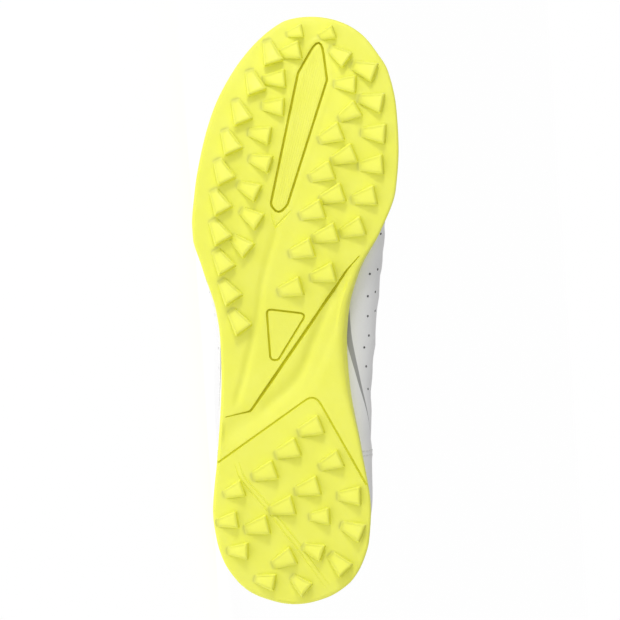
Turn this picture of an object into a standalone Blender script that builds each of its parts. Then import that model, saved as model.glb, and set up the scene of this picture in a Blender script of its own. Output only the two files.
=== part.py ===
"""Football shoe for artificial turf, right foot, lying on its lateral side.

The shoe is modelled upright in its own axes: x runs from heel to toe, y towards the medial side
and z up from the plane of the lug tips. One empty then lays the finished shoe on its lateral side,
with the sole facing -Y, the toe towards -X and the medial side up. All lengths are in metres.
"""
import math

import bmesh
import bpy
from mathutils import Matrix, Vector
from mathutils.bvhtree import BVHTree

# Main sizes of the shoe
LENGTH = 0.288
BALL_WIDTH = 0.100
INSTEP_HEIGHT = 0.088
HEEL_HEIGHT = 0.078
TOE_SPRING = 0.010

# Outsole
LUG_HEIGHT = 0.0050
LUG_EDGE = 0.0096
LUG_REACH = 0.0098
LUG_DRAFT = 0.0009
LUG_SINK = 0.0022
FOREPART_PLATE = 0.0045
HEEL_PLATE = 0.0075
SIDE_HEIGHT = 0.0125
RIM_WALL = 0.0026
EDGE_ROUND = 0.0014
WAIST_SLOPE = 0.0040
SIDE_STEP = 0.0007
GROOVE_DEPTH = 0.0009

# Upper
UPPER_WALL = 0.0018
OVERLAY_STEP = 0.0008
COLLAR_PAD = 0.0035
EYESTAY_WIDTH = 0.0150
HOLE_RADIUS = 0.0021
HOLE_FROM_EDGE = 0.0070
EYELET_PAIRS = 6

# Tongue, insole and laces
TONGUE_HALF_WIDTH = 0.0260
TONGUE_THICKNESS = 0.0060
TONGUE_EDGE = 0.0022
TONGUE_RISE = 0.0320
TONGUE_SEAT = 0.0012
TONGUE_FOOT_SHARE = 0.72
TONGUE_NECK_SHARE = 0.62
FOREPART_INSOLE = 0.0035
HEEL_INSOLE = 0.0055
LACE_WIDTH = 0.0060
LACE_THICKNESS = 0.0012
LACE_LIFT = 0.0009

CLEARANCE = 0.0003
FLAT_DEPTH = 0.0003

SIDES = {"lateral": -1.0, "medial": 1.0}

# Weights of the materials, in kilograms for each cubic metre
DENSITY = {"outsole": 1150.0, "upper": 900.0, "tongue": 320.0, "insole": 300.0, "laces": 700.0}


def table(columns, *rows):
    """A table with named columns: the name of each column with its values from first to last row."""
    return {name: [row[place] for row in rows] for place, name in enumerate(columns.split())}


# Outline of the sole seen from below: shares of the length from the heel, and of the ball width
# from the long axis to each side.
OUTLINE = table(
    "along lateral medial",
    (0.000, 0.000, 0.000),
    (0.007, 0.120, 0.120),
    (0.014, 0.178, 0.174),
    (0.024, 0.231, 0.223),
    (0.041, 0.285, 0.280),
    (0.075, 0.350, 0.336),
    (0.109, 0.382, 0.363),
    (0.160, 0.401, 0.372),
    (0.262, 0.377, 0.328),
    (0.381, 0.360, 0.267),
    (0.449, 0.366, 0.255),
    (0.500, 0.387, 0.265),
    (0.568, 0.451, 0.319),
    (0.636, 0.505, 0.422),
    (0.704, 0.490, 0.493),
    (0.772, 0.456, 0.507),
    (0.840, 0.400, 0.497),
    (0.908, 0.300, 0.454),
    (0.940, 0.232, 0.398),
    (0.966, 0.160, 0.338),
    (0.983, 0.098, 0.272),
    (0.993, 0.047, 0.206),
    (1.000, -0.078, 0.078),
)

# Profile of the sole: lift of its underside as a share of the toe spring, height of its side as
# a share of the side height, how much of the heel's extra thickness it has, and how much its
# medial side slopes inwards under the waist.
PROFILE = table(
    "along lift side heel slope",
    (0.00, 0.22, 1.15, 1.0, 0.0),
    (0.06, 0.04, 1.12, 1.0, 0.0),
    (0.15, 0.00, 1.08, 1.0, 0.0),
    (0.28, 0.08, 1.02, 0.8, 0.2),
    (0.42, 0.38, 0.94, 0.4, 1.0),
    (0.55, 0.12, 0.88, 0.0, 0.5),
    (0.66, 0.00, 0.84, 0.0, 0.0),
    (0.74, 0.03, 0.84, 0.0, 0.0),
    (0.84, 0.22, 0.90, 0.0, 0.0),
    (0.93, 0.58, 1.00, 0.0, 0.0),
    (1.00, 1.00, 1.05, 0.0, 0.0),
)

# Sections of the upper. Bulge is how far the wall stands outside the sole's outline, as a share
# of the ball width; waist is the height of that widest place and instep part of the top's height,
# as shares of the instep height; heel is the share of the heel height in the top; top and gap
# are where the section ends, along the length and each side of the instep line; round is 1 where
# the section closes over the instep and 0 where it stands up to the collar.
SECTIONS = table(
    "along bulge_lateral bulge_medial waist top gap heel instep round crest",
    (0.000, -0.004, -0.004, 0.37, 0.034, 0.000, 1.00, 0.00, 0.0, 0.000),
    (0.050, -0.008, -0.008, 0.37, 0.056, 0.150, 0.99, 0.00, 0.0, 0.000),
    (0.110, -0.012, -0.012, 0.36, 0.105, 0.240, 0.95, 0.00, 0.0, 0.000),
    (0.180, -0.010, 0.006, 0.36, 0.176, 0.290, 0.88, 0.00, 0.0, 0.000),
    (0.260, -0.002, 0.044, 0.37, 0.262, 0.305, 0.81, 0.00, 0.0, 0.000),
    (0.320, 0.012, 0.084, 0.39, 0.328, 0.295, 0.80, 0.00, 0.0, 0.000),
    (0.380, 0.017, 0.113, 0.41, 0.388, 0.250, 0.52, 0.37, 0.1, 0.005),
    (0.450, 0.015, 0.142, 0.41, 0.450, 0.180, 0.00, 1.00, 0.5, 0.015),
    (0.520, 0.014, 0.137, 0.39, 0.520, 0.140, 0.00, 0.91, 0.6, 0.025),
    (0.580, 0.000, 0.100, 0.37, 0.580, 0.125, 0.00, 0.835, 0.7, 0.035),
    (0.635, -0.012, 0.026, 0.34, 0.635, 0.105, 0.00, 0.765, 0.8, 0.042),
    (0.660, -0.014, -0.002, 0.33, 0.660, 0.000, 0.00, 0.735, 1.0, 0.045),
    (0.710, -0.014, -0.012, 0.31, 0.710, 0.000, 0.00, 0.680, 1.0, 0.050),
    (0.780, -0.014, -0.014, 0.31, 0.780, 0.000, 0.00, 0.625, 1.0, 0.055),
    (0.860, -0.014, -0.014, 0.32, 0.857, 0.000, 0.00, 0.575, 1.0, 0.062),
    (0.930, -0.014, -0.014, 0.34, 0.918, 0.000, 0.00, 0.520, 1.0, 0.068),
    (0.980, -0.014, -0.014, 0.36, 0.950, 0.000, 0.00, 0.472, 1.0, 0.072),
    (1.000, -0.014, -0.014, 0.37, 0.960, 0.000, 0.00, 0.452, 1.0, 0.074),
)

# Places along the length, as shares of it
THROAT_FRONT = 0.660
EYESTAY_FRONT = 0.695
EYESTAY_BACK = 0.400
COUNTER_FRONT = 0.235
TOE_CAP_BACK = 0.850
FIRST_EYELET = 0.632
LAST_EYELET = 0.462
TONGUE_FRONT = 0.700
TONGUE_TOP = 0.450
COLLAR_PAD_FRONT = 0.430

# Files of lugs on the sole. Start, middle and end are shares of the length and the ball width;
# the lugs of a file stand evenly between them, a little to either side by the stagger. Turn is
# the way that the steep face looks, in degrees from the medial side towards the heel.
LUG_FILES = table(
    "count size along_start along_end across_start across_middle across_end stagger turn_start turn_end",
    (2, 0.68, 0.973, 0.970, 0.008, 0.086, 0.164, 0.000, -12, -20),
    (10, 1.05, 0.942, 0.478, -0.132, -0.362, -0.272, 0.000, 75, 55),
    (8, 0.92, 0.940, 0.609, -0.030, -0.160, -0.240, 0.016, -12, 40),
    (5, 1.00, 0.798, 0.537, 0.186, 0.095, -0.010, 0.000, -22, -16),
    (3, 0.90, 0.932, 0.836, 0.225, 0.258, 0.275, 0.000, 35, -30),
    (4, 1.00, 0.762, 0.561, 0.250, 0.175, 0.150, 0.000, -22, -14),
    (6, 1.00, 0.908, 0.638, 0.350, 0.395, 0.292, 0.000, 20, -20),
    (3, 1.00, 0.301, 0.225, 0.088, -0.025, -0.137, 0.000, -22, -20),
    (4, 0.95, 0.243, 0.068, 0.186, 0.295, 0.222, 0.000, -24, 45),
    (3, 1.00, 0.199, 0.133, 0.074, -0.049, -0.172, 0.000, -16, -14),
    (3, 0.85, 0.150, 0.033, 0.132, 0.100, 0.032, 0.000, -3, 40),
    (4, 0.85, 0.194, 0.040, -0.304, -0.314, -0.135, 0.000, -20, 10),
    (1, 0.95, 0.078, 0.078, -0.044, -0.044, -0.044, 0.000, -26, -26),
)

# Corners and bends of the lines moulded in the sole, as shares of the length and ball width
WINDOW = ((0.9720, 0.126), (0.8910, 0.157), (0.6750, -0.034), (0.6750, -0.118), (0.9030, 0.015))
POINTER = ((0.6650, -0.116), (0.6400, -0.095), (0.6680, -0.022))
TRIANGLE = ((0.5040, -0.137), (0.4945, 0.054), (0.4080, -0.103))
LONG_LINE = ((0.318, -0.338), (0.328, -0.221), (0.388, -0.098), (0.449, 0.025), (0.534, 0.177),
             (0.582, 0.279), (0.600, 0.325))
SHANK_TROUGH = ((0.548, 0.238), (0.528, 0.214), (0.466, 0.147), (0.406, 0.074), (0.372, 0.010),
                (0.338, -0.122), (0.306, -0.262), (0.290, -0.330))
STRIP_TROUGH = ((0.636, -0.090), (0.551, -0.157), (0.483, -0.186), (0.381, -0.255), (0.345, -0.285))
HEEL_LINE = ((0.2415, -0.378), (0.3418, 0.025), (0.3580, 0.075), (0.3440, 0.118), (0.270, 0.245),
             (0.204, 0.340))
HEEL_RIB = ((0.240, -0.284), (0.214, -0.255), (0.177, -0.162), (0.095, 0.025), (0.030, 0.160))


def turn_of(along):
    """Angle round the outline at a share of the length: 0 at the heel and pi at the toe."""
    return math.acos(max(-1.0, min(1.0, 1.0 - 2.0 * along)))


def along_of(turn):
    """Share of the length at an angle round the outline."""
    return (1.0 - math.cos(turn)) / 2.0


def read(rows, column, along):
    """Value of a table's column at a share of the length, on a smooth curve that never overshoots."""
    keys = [turn_of(value) for value in rows["along"]]
    values = rows[column]
    here = min(max(turn_of(along), keys[0]), keys[-1])
    place = max(k for k in range(len(keys) - 1) if keys[k] <= here)
    rise = [(values[k + 1] - values[k]) / (keys[k + 1] - keys[k]) for k in range(len(keys) - 1)]

    def tangent(k):
        if k == 0 or k == len(keys) - 1:
            return rise[min(k, len(rise) - 1)]
        before, after = rise[k - 1], rise[k]
        return 0.0 if before * after <= 0.0 else 2.0 * before * after / (before + after)

    width = keys[place + 1] - keys[place]
    t = (here - keys[place]) / width
    start, end = values[place], values[place + 1]
    return ((2 * t**3 - 3 * t**2 + 1) * start + (t**3 - 2 * t**2 + t) * width * tangent(place)
            + (3 * t**2 - 2 * t**3) * end + (t**3 - t**2) * width * tangent(place + 1))


def fade(value, low, high):
    """0 below low and 1 above high, with a soft change between."""
    t = max(0.0, min(1.0, (value - low) / (high - low)))
    return t * t * (3.0 - 2.0 * t)


def outline_loop(turn):
    """Plan point of the outline: angles above 0 run up the medial side, below 0 up the lateral."""
    turn = (turn + math.pi) % (2.0 * math.pi) - math.pi
    along = along_of(turn)
    side = read(OUTLINE, "medial", along) if turn >= 0.0 else -read(OUTLINE, "lateral", along)
    return Vector((along * LENGTH, side * BALL_WIDTH, 0.0))


def outline_point(along, side, inset=0.0):
    """Plan point of the outline on one side, moved inwards square to it by the inset."""
    turn = side * turn_of(along)
    step = 0.012
    way = (outline_loop(turn + step) - outline_loop(turn - step)).normalized()
    return outline_loop(turn) + Vector((way.y, -way.x, 0.0)) * inset


def underside(x):
    """Height of the sole's underside above the plane of the lug tips."""
    return LUG_HEIGHT + TOE_SPRING * read(PROFILE, "lift", x / LENGTH)


def floor_height(x):
    """Height of the floor inside the sole's rim."""
    extra = (HEEL_PLATE - FOREPART_PLATE) * read(PROFILE, "heel", x / LENGTH)
    return underside(x) + FOREPART_PLATE + extra


def rim_height(x):
    """Height of the top of the sole's rim."""
    return underside(x) + SIDE_HEIGHT * read(PROFILE, "side", x / LENGTH)


def raised(point, height):
    return Vector((point.x, point.y, height))


def material(name, colour, roughness):
    finish = bpy.data.materials.new(name)
    finish.use_nodes = True
    shader = finish.node_tree.nodes["Principled BSDF"]
    shader.inputs["Base Color"].default_value = (*colour, 1.0)
    shader.inputs["Roughness"].default_value = roughness
    finish.diffuse_color = (*colour, 1.0)
    return finish


def mesh_object(name, bm, collection, finish=None):
    """A new object from the mesh, with its faces pointing out."""
    bmesh.ops.recalc_face_normals(bm, faces=bm.faces)
    mesh = bpy.data.meshes.new(name)
    bm.to_mesh(mesh)
    bm.free()
    shape = bpy.data.objects.new(name, mesh)
    collection.objects.link(shape)
    if finish:
        mesh.materials.append(finish)
        mesh.shade_smooth()
        mesh.set_sharp_from_angle(angle=math.radians(32.0))
    else:
        shape.hide_render = True
        shape.display_type = "WIRE"
    return shape


def add_boolean(shape, other, operation):
    cut = shape.modifiers.new(other.name, "BOOLEAN")
    cut.operation = operation
    cut.object = other
    cut.use_self = other.name == "lugs"


def skin_rows(bm, rows, closed):
    """Quads between rows of vertices; each row is closed into a ring where asked."""
    for lower, upper in zip(rows, rows[1:]):
        count = len(lower)
        for k in range(count if closed else count - 1):
            corners = (lower[k], lower[(k + 1) % count], upper[(k + 1) % count], upper[k])
            distinct = list(dict.fromkeys(corners))
            if len(distinct) > 2:
                bm.faces.new(distinct)


# Outsole: a plate with a rim, moulded in one with its lugs

SOLE_ACROSS = 3


def stations():
    """Shares of the length where every section stands, closer at the throat and the overlays' edges."""
    run = 0.004
    edges = [COUNTER_FRONT, COUNTER_FRONT + run, EYESTAY_BACK - run, EYESTAY_BACK,
             (EYESTAY_BACK + TONGUE_TOP) / 2.0, TONGUE_TOP, THROAT_FRONT - 0.012,
             THROAT_FRONT - 0.004, THROAT_FRONT, EYESTAY_FRONT, EYESTAY_FRONT + run, TOE_CAP_BACK - run,
             TOE_CAP_BACK]
    count = 28
    even = [along_of(math.pi * k / count) for k in range(count + 1)]
    apart = 0.008
    return sorted(edges + [v for v in even if min(abs(v - edge) for edge in edges) > apart])


def sole_ring(bm, inset, height, slope=0.0):
    """Ring of vertices round the outline: up the lateral side, round the toe, down the medial."""
    shares = stations()
    places = [(along, -1.0) for along in shares] + [(along, 1.0) for along in shares[-2:0:-1]]
    ring = []
    for along, side in places:
        more = slope * read(PROFILE, "slope", along) if side > 0.0 else 0.0
        point = outline_point(along, side, inset + more)
        ring.append(bm.verts.new(raised(point, height(outline_point(along, side).x))))
    return ring


def close_ring(bm, ring, across, height):
    """Closes a ring with strips from side to side that keep to the given height."""
    last = len(ring) // 2
    rows = [[ring[0]] * (across + 1)]
    for k in range(1, last):
        lateral, medial = ring[k], ring[-k]
        row = [lateral]
        for step in range(1, across):
            point = lateral.co.lerp(medial.co, step / across)
            row.append(bm.verts.new(raised(point, height(point.x))))
        rows.append(row + [medial])
    rows.append([ring[last]] * (across + 1))
    skin_rows(bm, rows, False)


def plate_mesh():
    bm = bmesh.new()
    middle = SIDE_HEIGHT * 0.5
    rings = [
        sole_ring(bm, EDGE_ROUND, underside, WAIST_SLOPE),
        sole_ring(bm, 0.0, lambda x: underside(x) + EDGE_ROUND, WAIST_SLOPE * 0.5),
        sole_ring(bm, 0.0, lambda x: underside(x) + middle),
        sole_ring(bm, SIDE_STEP, lambda x: underside(x) + middle + SIDE_STEP),
        sole_ring(bm, SIDE_STEP, rim_height),
        sole_ring(bm, RIM_WALL, rim_height),
        sole_ring(bm, RIM_WALL, floor_height),
    ]
    skin_rows(bm, rings, True)
    close_ring(bm, rings[0], SOLE_ACROSS, underside)
    close_ring(bm, rings[-1], 1, floor_height)
    return bm


def add_lug(bm, x, y, turn, size):
    """Three-sided wedge: low at one corner and rising to a steep face on the opposite edge."""
    ahead = Vector((-math.sin(turn), math.cos(turn), 0.0))
    beside = Vector((ahead.y, -ahead.x, 0.0))
    corners = (
        (-LUG_REACH * 0.6, 0.0, 0.25),
        (LUG_REACH * 0.4, LUG_EDGE * 0.5, 0.92),
        (LUG_REACH * 0.4, -LUG_EDGE * 0.5, 1.0),
    )
    tips, roots = [], []
    for forward, sideways, height in corners:
        offset = (ahead * forward + beside * sideways) * size
        tip = Vector((x, y, 0.0)) + offset
        root = tip + offset.normalized() * LUG_DRAFT
        tips.append(bm.verts.new(raised(tip, underside(tip.x) - LUG_HEIGHT * height)))
        roots.append(bm.verts.new(raised(root, underside(root.x) + LUG_SINK)))
    bm.faces.new(tips)
    bm.faces.new(roots)
    for k in range(3):
        bm.faces.new((tips[k], tips[(k + 1) % 3], roots[(k + 1) % 3], roots[k]))


def lugs_mesh():
    bm = bmesh.new()
    names = list(LUG_FILES)
    for values in zip(*(LUG_FILES[name] for name in names)):
        row = dict(zip(names, values))
        for k in range(row["count"]):
            t = k / max(1, row["count"] - 1)
            along = row["along_start"] + (row["along_end"] - row["along_start"]) * t
            across = ((1 - t) * (1 - 2 * t) * row["across_start"] + 4 * t * (1 - t) * row["across_middle"]
                      + t * (2 * t - 1) * row["across_end"] + row["stagger"] * (-1) ** k)
            turn = row["turn_start"] + (row["turn_end"] - row["turn_start"]) * t
            add_lug(bm, along * LENGTH, across * BALL_WIDTH, math.radians(turn), row["size"])
    return bm


def to_plan(shares):
    return [Vector((along * LENGTH, across * BALL_WIDTH, 0.0)) for along, across in shares]


def divided(path, closed=False):
    """The path with points added on its long runs, so that a line keeps to the bend of the sole."""
    longest = 0.007
    points = []
    ends = list(zip(path, path[1:])) + ([(path[-1], path[0])] if closed else [])
    for a, b in ends:
        count = max(1, math.ceil((b - a).length / longest))
        points += [a.lerp(b, k / count) for k in range(count)]
    return points if closed else points + [path[-1]]


def rounded(corners, radius, steps):
    """Closed path through the corners, each turned into an arc."""
    path = []
    count = len(corners)
    for k, corner in enumerate(corners):
        back = (corners[k - 1] - corner).normalized()
        front = (corners[(k + 1) % count] - corner).normalized()
        half = back.angle(front) / 2.0
        reach = radius / math.tan(half)
        start, end = corner + back * reach, corner + front * reach
        for step in range(steps + 1):
            t = step / steps
            path.append(start * (1 - t) ** 2 + corner * 2 * t * (1 - t) + end * t**2)
    return divided(path, True)


def softened(points, steps=3):
    """Open path on a smooth curve through the points."""
    path = []
    ends = [points[0] * 2 - points[1]] + points + [points[-1] * 2 - points[-2]]
    for k in range(1, len(ends) - 2):
        a, b, c, d = ends[k - 1:k + 3]
        span = (c - b).length
        leave, arrive = (c - a).normalized() * span, (d - b).normalized() * span
        for step in range(steps):
            t = step / steps
            path.append(b * (2 * t**3 - 3 * t**2 + 1) + leave * (t**3 - 2 * t**2 + t)
                        + c * (3 * t**2 - 2 * t**3) + arrive * (t**3 - t**2))
    return path + [points[-1]]


# Sections of the moulded lines: share of the width to each side, and share of the depth
NARROW = ((-0.5, 0.0), (-0.22, 1.0), (0.22, 1.0), (0.5, 0.0))
SOFT = ((-0.5, 0.0), (-0.3, 0.6), (0.0, 1.0), (0.3, 0.6), (0.5, 0.0))


def groove(name, path, width, depth, section, cutters, closed=False, taper=1.0):
    """Cutter for a line moulded in the sole, following the underside along its path."""
    bm = bmesh.new()
    rows = []
    count = len(path)
    for k, point in enumerate(path):
        before = path[k - 1] if closed or k else point
        after = path[(k + 1) % count] if closed or k < count - 1 else point
        way = (after - before).normalized()
        beside = Vector((-way.y, way.x, 0.0))
        ends = min(k, count - 1 - k) / (count * 0.25)
        size = 1.0 if closed else min(1.0, taper + (1.0 - taper) * ends)
        row = []
        for share, deep in ((-0.5, -1.0), *section, (0.5, -1.0)):
            place = point + beside * share * width * size
            row.append(bm.verts.new(raised(place, underside(place.x) + depth * size * deep)))
        rows.append(row)
    if closed:
        rows.append(rows[0])
    skin_rows(bm, rows, True)
    if not closed:
        bm.faces.new(rows[0])
        bm.faces.new(rows[-1])
    return mesh_object(name, bm, cutters)


def sole_cutters(cutters):
    """Every line and field moulded in the underside."""
    rib = softened(to_plan(HEEL_RIB))
    beside = Vector((0.0007, 0.0009, 0.0))
    window = rounded(to_plan(WINDOW), 0.0036, 4)
    triangle = rounded(to_plan(TRIANGLE), 0.0022, 3)
    return (
        groove("shank_trough", softened(to_plan(SHANK_TROUGH)), 0.0150, 0.0013, SOFT, cutters),
        groove("strip_trough", softened(to_plan(STRIP_TROUGH)), 0.0075, 0.0008, SOFT, cutters),
        groove("window_line", window, 0.0018, GROOVE_DEPTH * 1.2, NARROW, cutters, True),
        groove("pointer_line", divided(to_plan(POINTER)), 0.0014, GROOVE_DEPTH * 0.6, NARROW, cutters, False, 0.4),
        groove("triangle_line", triangle, 0.0010, GROOVE_DEPTH * 0.6, NARROW, cutters, True),
        groove("long_line", softened(to_plan(LONG_LINE)), 0.0017, GROOVE_DEPTH, NARROW, cutters,
               False, 0.3),
        groove("heel_line", softened(to_plan(HEEL_LINE)), 0.0013, GROOVE_DEPTH * 0.8, NARROW, cutters),
        groove("heel_rib_front", [p + beside for p in rib], 0.0010, GROOVE_DEPTH * 0.5, NARROW,
               cutters, False, 0.4),
        groove("heel_rib_back", [p - beside for p in rib], 0.0010, GROOVE_DEPTH * 0.5, NARROW,
               cutters, False, 0.4),
    )


def make_outsole(parts, cutters):
    finish = material("neon_rubber", (0.86, 0.90, 0.09), 0.45)
    outsole = mesh_object("outsole", plate_mesh(), parts, finish)
    for cutter in sole_cutters(cutters):
        add_boolean(outsole, cutter, "DIFFERENCE")
    add_boolean(outsole, mesh_object("lugs", lugs_mesh(), cutters), "UNION")
    return outsole


# Upper: one shell from the feather edge inside the rim to the collar and the throat

FOOT_INSET = RIM_WALL + CLEARANCE
FOOT_RISE = 0.0006
WALL_LINES = (0.0, 0.22, 0.43, 0.46, 0.66)


def section_marks(along, side):
    """Foot, rim, widest and top points of the section that stands at a share of the length."""
    foot_plan = outline_point(along, side, FOOT_INSET)
    name = "bulge_medial" if side > 0.0 else "bulge_lateral"
    wide_plan = outline_point(along, side, -read(SECTIONS, name, along) * BALL_WIDTH)
    edge_x = outline_point(along, side).x
    foot = raised(foot_plan, floor_height(edge_x) + CLEARANCE)
    rim = raised(foot_plan, rim_height(edge_x) + FOOT_RISE)
    wide = raised(wide_plan, read(SECTIONS, "waist", along) * INSTEP_HEIGHT)
    crest = read(SECTIONS, "crest", along) * BALL_WIDTH
    gap = read(SECTIONS, "gap", along) * BALL_WIDTH if along < THROAT_FRONT else 0.0
    height = read(SECTIONS, "heel", along) * HEEL_HEIGHT + read(SECTIONS, "instep", along) * INSTEP_HEIGHT
    top = Vector((read(SECTIONS, "top", along) * LENGTH, crest + side * gap, height))
    return foot, rim, wide, top


def wall_point(along, side, share):
    """Point of the section above its widest place: share 0 there and 1 at its top edge."""
    foot, rim, wide, top = section_marks(along, side)
    bend = read(SECTIONS, "round", along)
    angle = share * math.pi / 2.0
    inward = (1.0 - bend) * share**2 + bend * (1.0 - math.cos(angle))
    upward = (1.0 - bend) * share + bend * math.sin(angle)
    return Vector((wide.x + (top.x - wide.x) * inward, wide.y + (top.y - wide.y) * inward,
                   wide.z + (top.z - wide.z) * upward))


def wall_length(along, side):
    steps = 12
    points = [wall_point(along, side, k / steps) for k in range(steps + 1)]
    return sum((b - a).length for a, b in zip(points, points[1:]))


def share_from_edge(along, side, distance):
    """Share of the wall at a distance below its top edge."""
    return max(0.0, 1.0 - distance / wall_length(along, side))


def wall_surface(along, side, share, out=0.0):
    """Point of the wall moved out square to it, with a minus inwards."""
    step = 0.004
    low, high = max(0.0, share - step), min(1.0, share + step)
    up = wall_point(along, side, high) - wall_point(along, side, low)
    ahead = wall_point(along + step, side, share) - wall_point(along - step, side, share)
    square = up.cross(ahead).normalized() * side
    return wall_point(along, side, share) + square * out


def section_points(along, side):
    """Points of one section from the foot to the top edge."""
    foot, rim, wide, top = section_marks(along, side)
    points = [foot, rim]
    for angle in (math.radians(30.0), math.radians(60.0)):
        plan = rim.lerp(wide, math.sin(angle))
        points.append(raised(plan, rim.z + (wide.z - rim.z) * (1.0 - math.cos(angle))))
    stay = max(0.74, share_from_edge(along, side, EYESTAY_WIDTH))
    shares = [*WALL_LINES, stay, min(stay + 0.03, 0.96), 1.0]
    return points + [wall_point(along, side, share) for share in shares]


COUNTER_TOP_LINE = 6
STAY_LINE = 10
TOP_LINE = 11


def overlay(along, line):
    """Step of the overlays above the upper's plain wall: heel counter, eyestay and toe cap."""
    counter = along <= COUNTER_FRONT and line <= COUNTER_TOP_LINE
    eyestay = EYESTAY_BACK <= along <= EYESTAY_FRONT and line >= STAY_LINE
    toe_cap = along >= TOE_CAP_BACK
    above_rim = line >= 2
    return OVERLAY_STEP if above_rim and (counter or eyestay or toe_cap) else 0.0


def padding(along, line):
    """Extra thickness inside the collar."""
    round_collar = 1.0 - fade(along, COLLAR_PAD_FRONT - 0.08, COLLAR_PAD_FRONT)
    up_wall = {7: 0.35, 8: 0.85, 9: 1.0, 10: 1.0, 11: 0.35}.get(line, 0.0)
    return COLLAR_PAD * round_collar * up_wall


def upper_mesh():
    shares = stations()
    last = len(shares) - 1

    def key(side, i, j):
        shared = i in (0, last) or (j == TOP_LINE and shares[i] >= THROAT_FRONT)
        return ("both" if shared else side, i, j)

    bm = bmesh.new()
    outer = {}
    for side, sign in SIDES.items():
        for i, along in enumerate(shares):
            for j, point in enumerate(section_points(along, sign)):
                if key(side, i, j) not in outer:
                    outer[key(side, i, j)] = bm.verts.new(point)
    quads = []
    for side in SIDES:
        for i in range(last):
            for j in range(TOP_LINE):
                ring = [key(side, i, j), key(side, i, j + 1), key(side, i + 1, j + 1), key(side, i + 1, j)]
                quads.append(ring if side == "medial" else ring[::-1])
    for ring in quads:
        bm.faces.new([outer[place] for place in ring])
    bm.normal_update()
    inner = {}
    for place, vert in outer.items():
        side, i, j = place
        thick = UPPER_WALL + padding(shares[i], j)
        inner[place] = (vert.co - vert.normal * thick, vert.normal * overlay(shares[i], j))
    for place, (point, step) in inner.items():
        outer[place].co += step
    inner = {place: bm.verts.new(point) for place, (point, step) in inner.items()}
    for ring in quads:
        bm.faces.new([inner[place] for place in reversed(ring)])
    for edge in [edge for edge in bm.edges if edge.is_boundary and edge.verts[0] in set(outer.values())]:
        names = [place for vert in edge.verts for place, other in outer.items() if other is vert]
        bm.faces.new((outer[names[0]], outer[names[1]], inner[names[1]], inner[names[0]]))
    return bm


def eyelet_places():
    """Share of the length of each pair of lace holes, from the front."""
    step = (LAST_EYELET - FIRST_EYELET) / (EYELET_PAIRS - 1)
    return [FIRST_EYELET + step * k for k in range(EYELET_PAIRS)]


def hole_cutter(cutters):
    """Lace holes through the eyestay, square to its wall."""
    bm = bmesh.new()
    depth = 4.0 * (UPPER_WALL + OVERLAY_STEP)
    for along in eyelet_places():
        for side in SIDES.values():
            share = share_from_edge(along, side, HOLE_FROM_EDGE)
            centre = wall_surface(along, side, share)
            way = (wall_surface(along, side, share, 0.001) - centre).to_track_quat("Z", "Y")
            place = Matrix.Translation(centre) @ way.to_matrix().to_4x4()
            bmesh.ops.create_cone(bm, cap_ends=True, segments=8, radius1=HOLE_RADIUS, radius2=HOLE_RADIUS,
                                  depth=depth, matrix=place)
    return mesh_object("lace_holes", bm, cutters)


def make_upper(parts, cutters):
    upper = mesh_object("upper", upper_mesh(), parts, material("white_synthetic", (0.78, 0.78, 0.77), 0.5))
    add_boolean(upper, hole_cutter(cutters), "DIFFERENCE")
    return upper


# Pieces inside and over the throat

def instep_point(along, across, out):
    """Point over the instep at a distance from its middle line, out from the upper's outer face."""
    side = 1.0 if across >= 0.0 else -1.0
    gap = read(SECTIONS, "gap", along) * BALL_WIDTH if along < THROAT_FRONT else 0.0
    if abs(across) >= gap:
        return wall_surface(along, side, share_from_edge(along, side, abs(across) - gap), out)
    medial = wall_surface(along, 1.0, 0.999, out)
    lateral = wall_surface(along, -1.0, 0.999, out)
    t = across / gap
    crown = 0.22 * gap * (1.0 - t * t)
    return lateral.lerp(medial, (t + 1.0) / 2.0) + Vector((0.0, 0.0, crown))


def tongue_section(along):
    """Upper and lower points of the tongue across the instep."""
    depth = UPPER_WALL + TONGUE_SEAT
    shares = (-1.0, -0.7, -0.4, 0.0, 0.4, 0.7, 1.0)
    widening, neck = 0.15, 0.06
    foot = fade(TONGUE_FRONT - along, 0.0, widening)
    width = TONGUE_HALF_WIDTH * (TONGUE_FOOT_SHARE + (1.0 - TONGUE_FOOT_SHARE) * foot)
    width *= 1.0 - (1.0 - TONGUE_NECK_SHARE) * fade(TONGUE_TOP + neck - along, 0.0, neck)
    top = [instep_point(along, share * width, -depth) for share in shares]
    middle = instep_point(along, 0.0, -depth)
    low = []
    for share, point in zip(shares, top):
        thick = TONGUE_EDGE + (TONGUE_THICKNESS - TONGUE_EDGE) * (1.0 - share * share)
        inside = Vector((middle.x, middle.y, middle.z - TONGUE_HALF_WIDTH)) - point
        low.append(point + inside.normalized() * thick)
    return top + low[::-1]


def make_tongue(parts):
    bm = bmesh.new()
    between = [along for along in stations() if TONGUE_TOP < along < TONGUE_FRONT]
    sections = [tongue_section(along) for along in (TONGUE_FRONT, *reversed(between), TONGUE_TOP)]
    for angle, widen in ((68.0, 1.10), (60.0, 1.16), (56.0, 1.06)):
        lean = math.radians(angle)
        way = Vector((-math.cos(lean), 0.0, math.sin(lean))) * TONGUE_RISE / 3.0
        middle = sum((point.y for point in sections[-1]), 0.0) / len(sections[-1])
        wider = [Vector((p.x, middle + (p.y - middle) * widen, p.z)) for p in sections[-1]]
        sections.append([point + way for point in wider])
    rows = [[bm.verts.new(point) for point in section] for section in sections]
    skin_rows(bm, rows, True)
    half = len(rows[0]) // 2
    for row in (rows[0], rows[-1]):
        for k in range(half - 1):
            bm.faces.new((row[k], row[k + 1], row[-k - 2], row[-k - 1]))
    return mesh_object("tongue", bm, parts, material("tongue_mesh", (0.76, 0.76, 0.76), 0.8))


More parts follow.
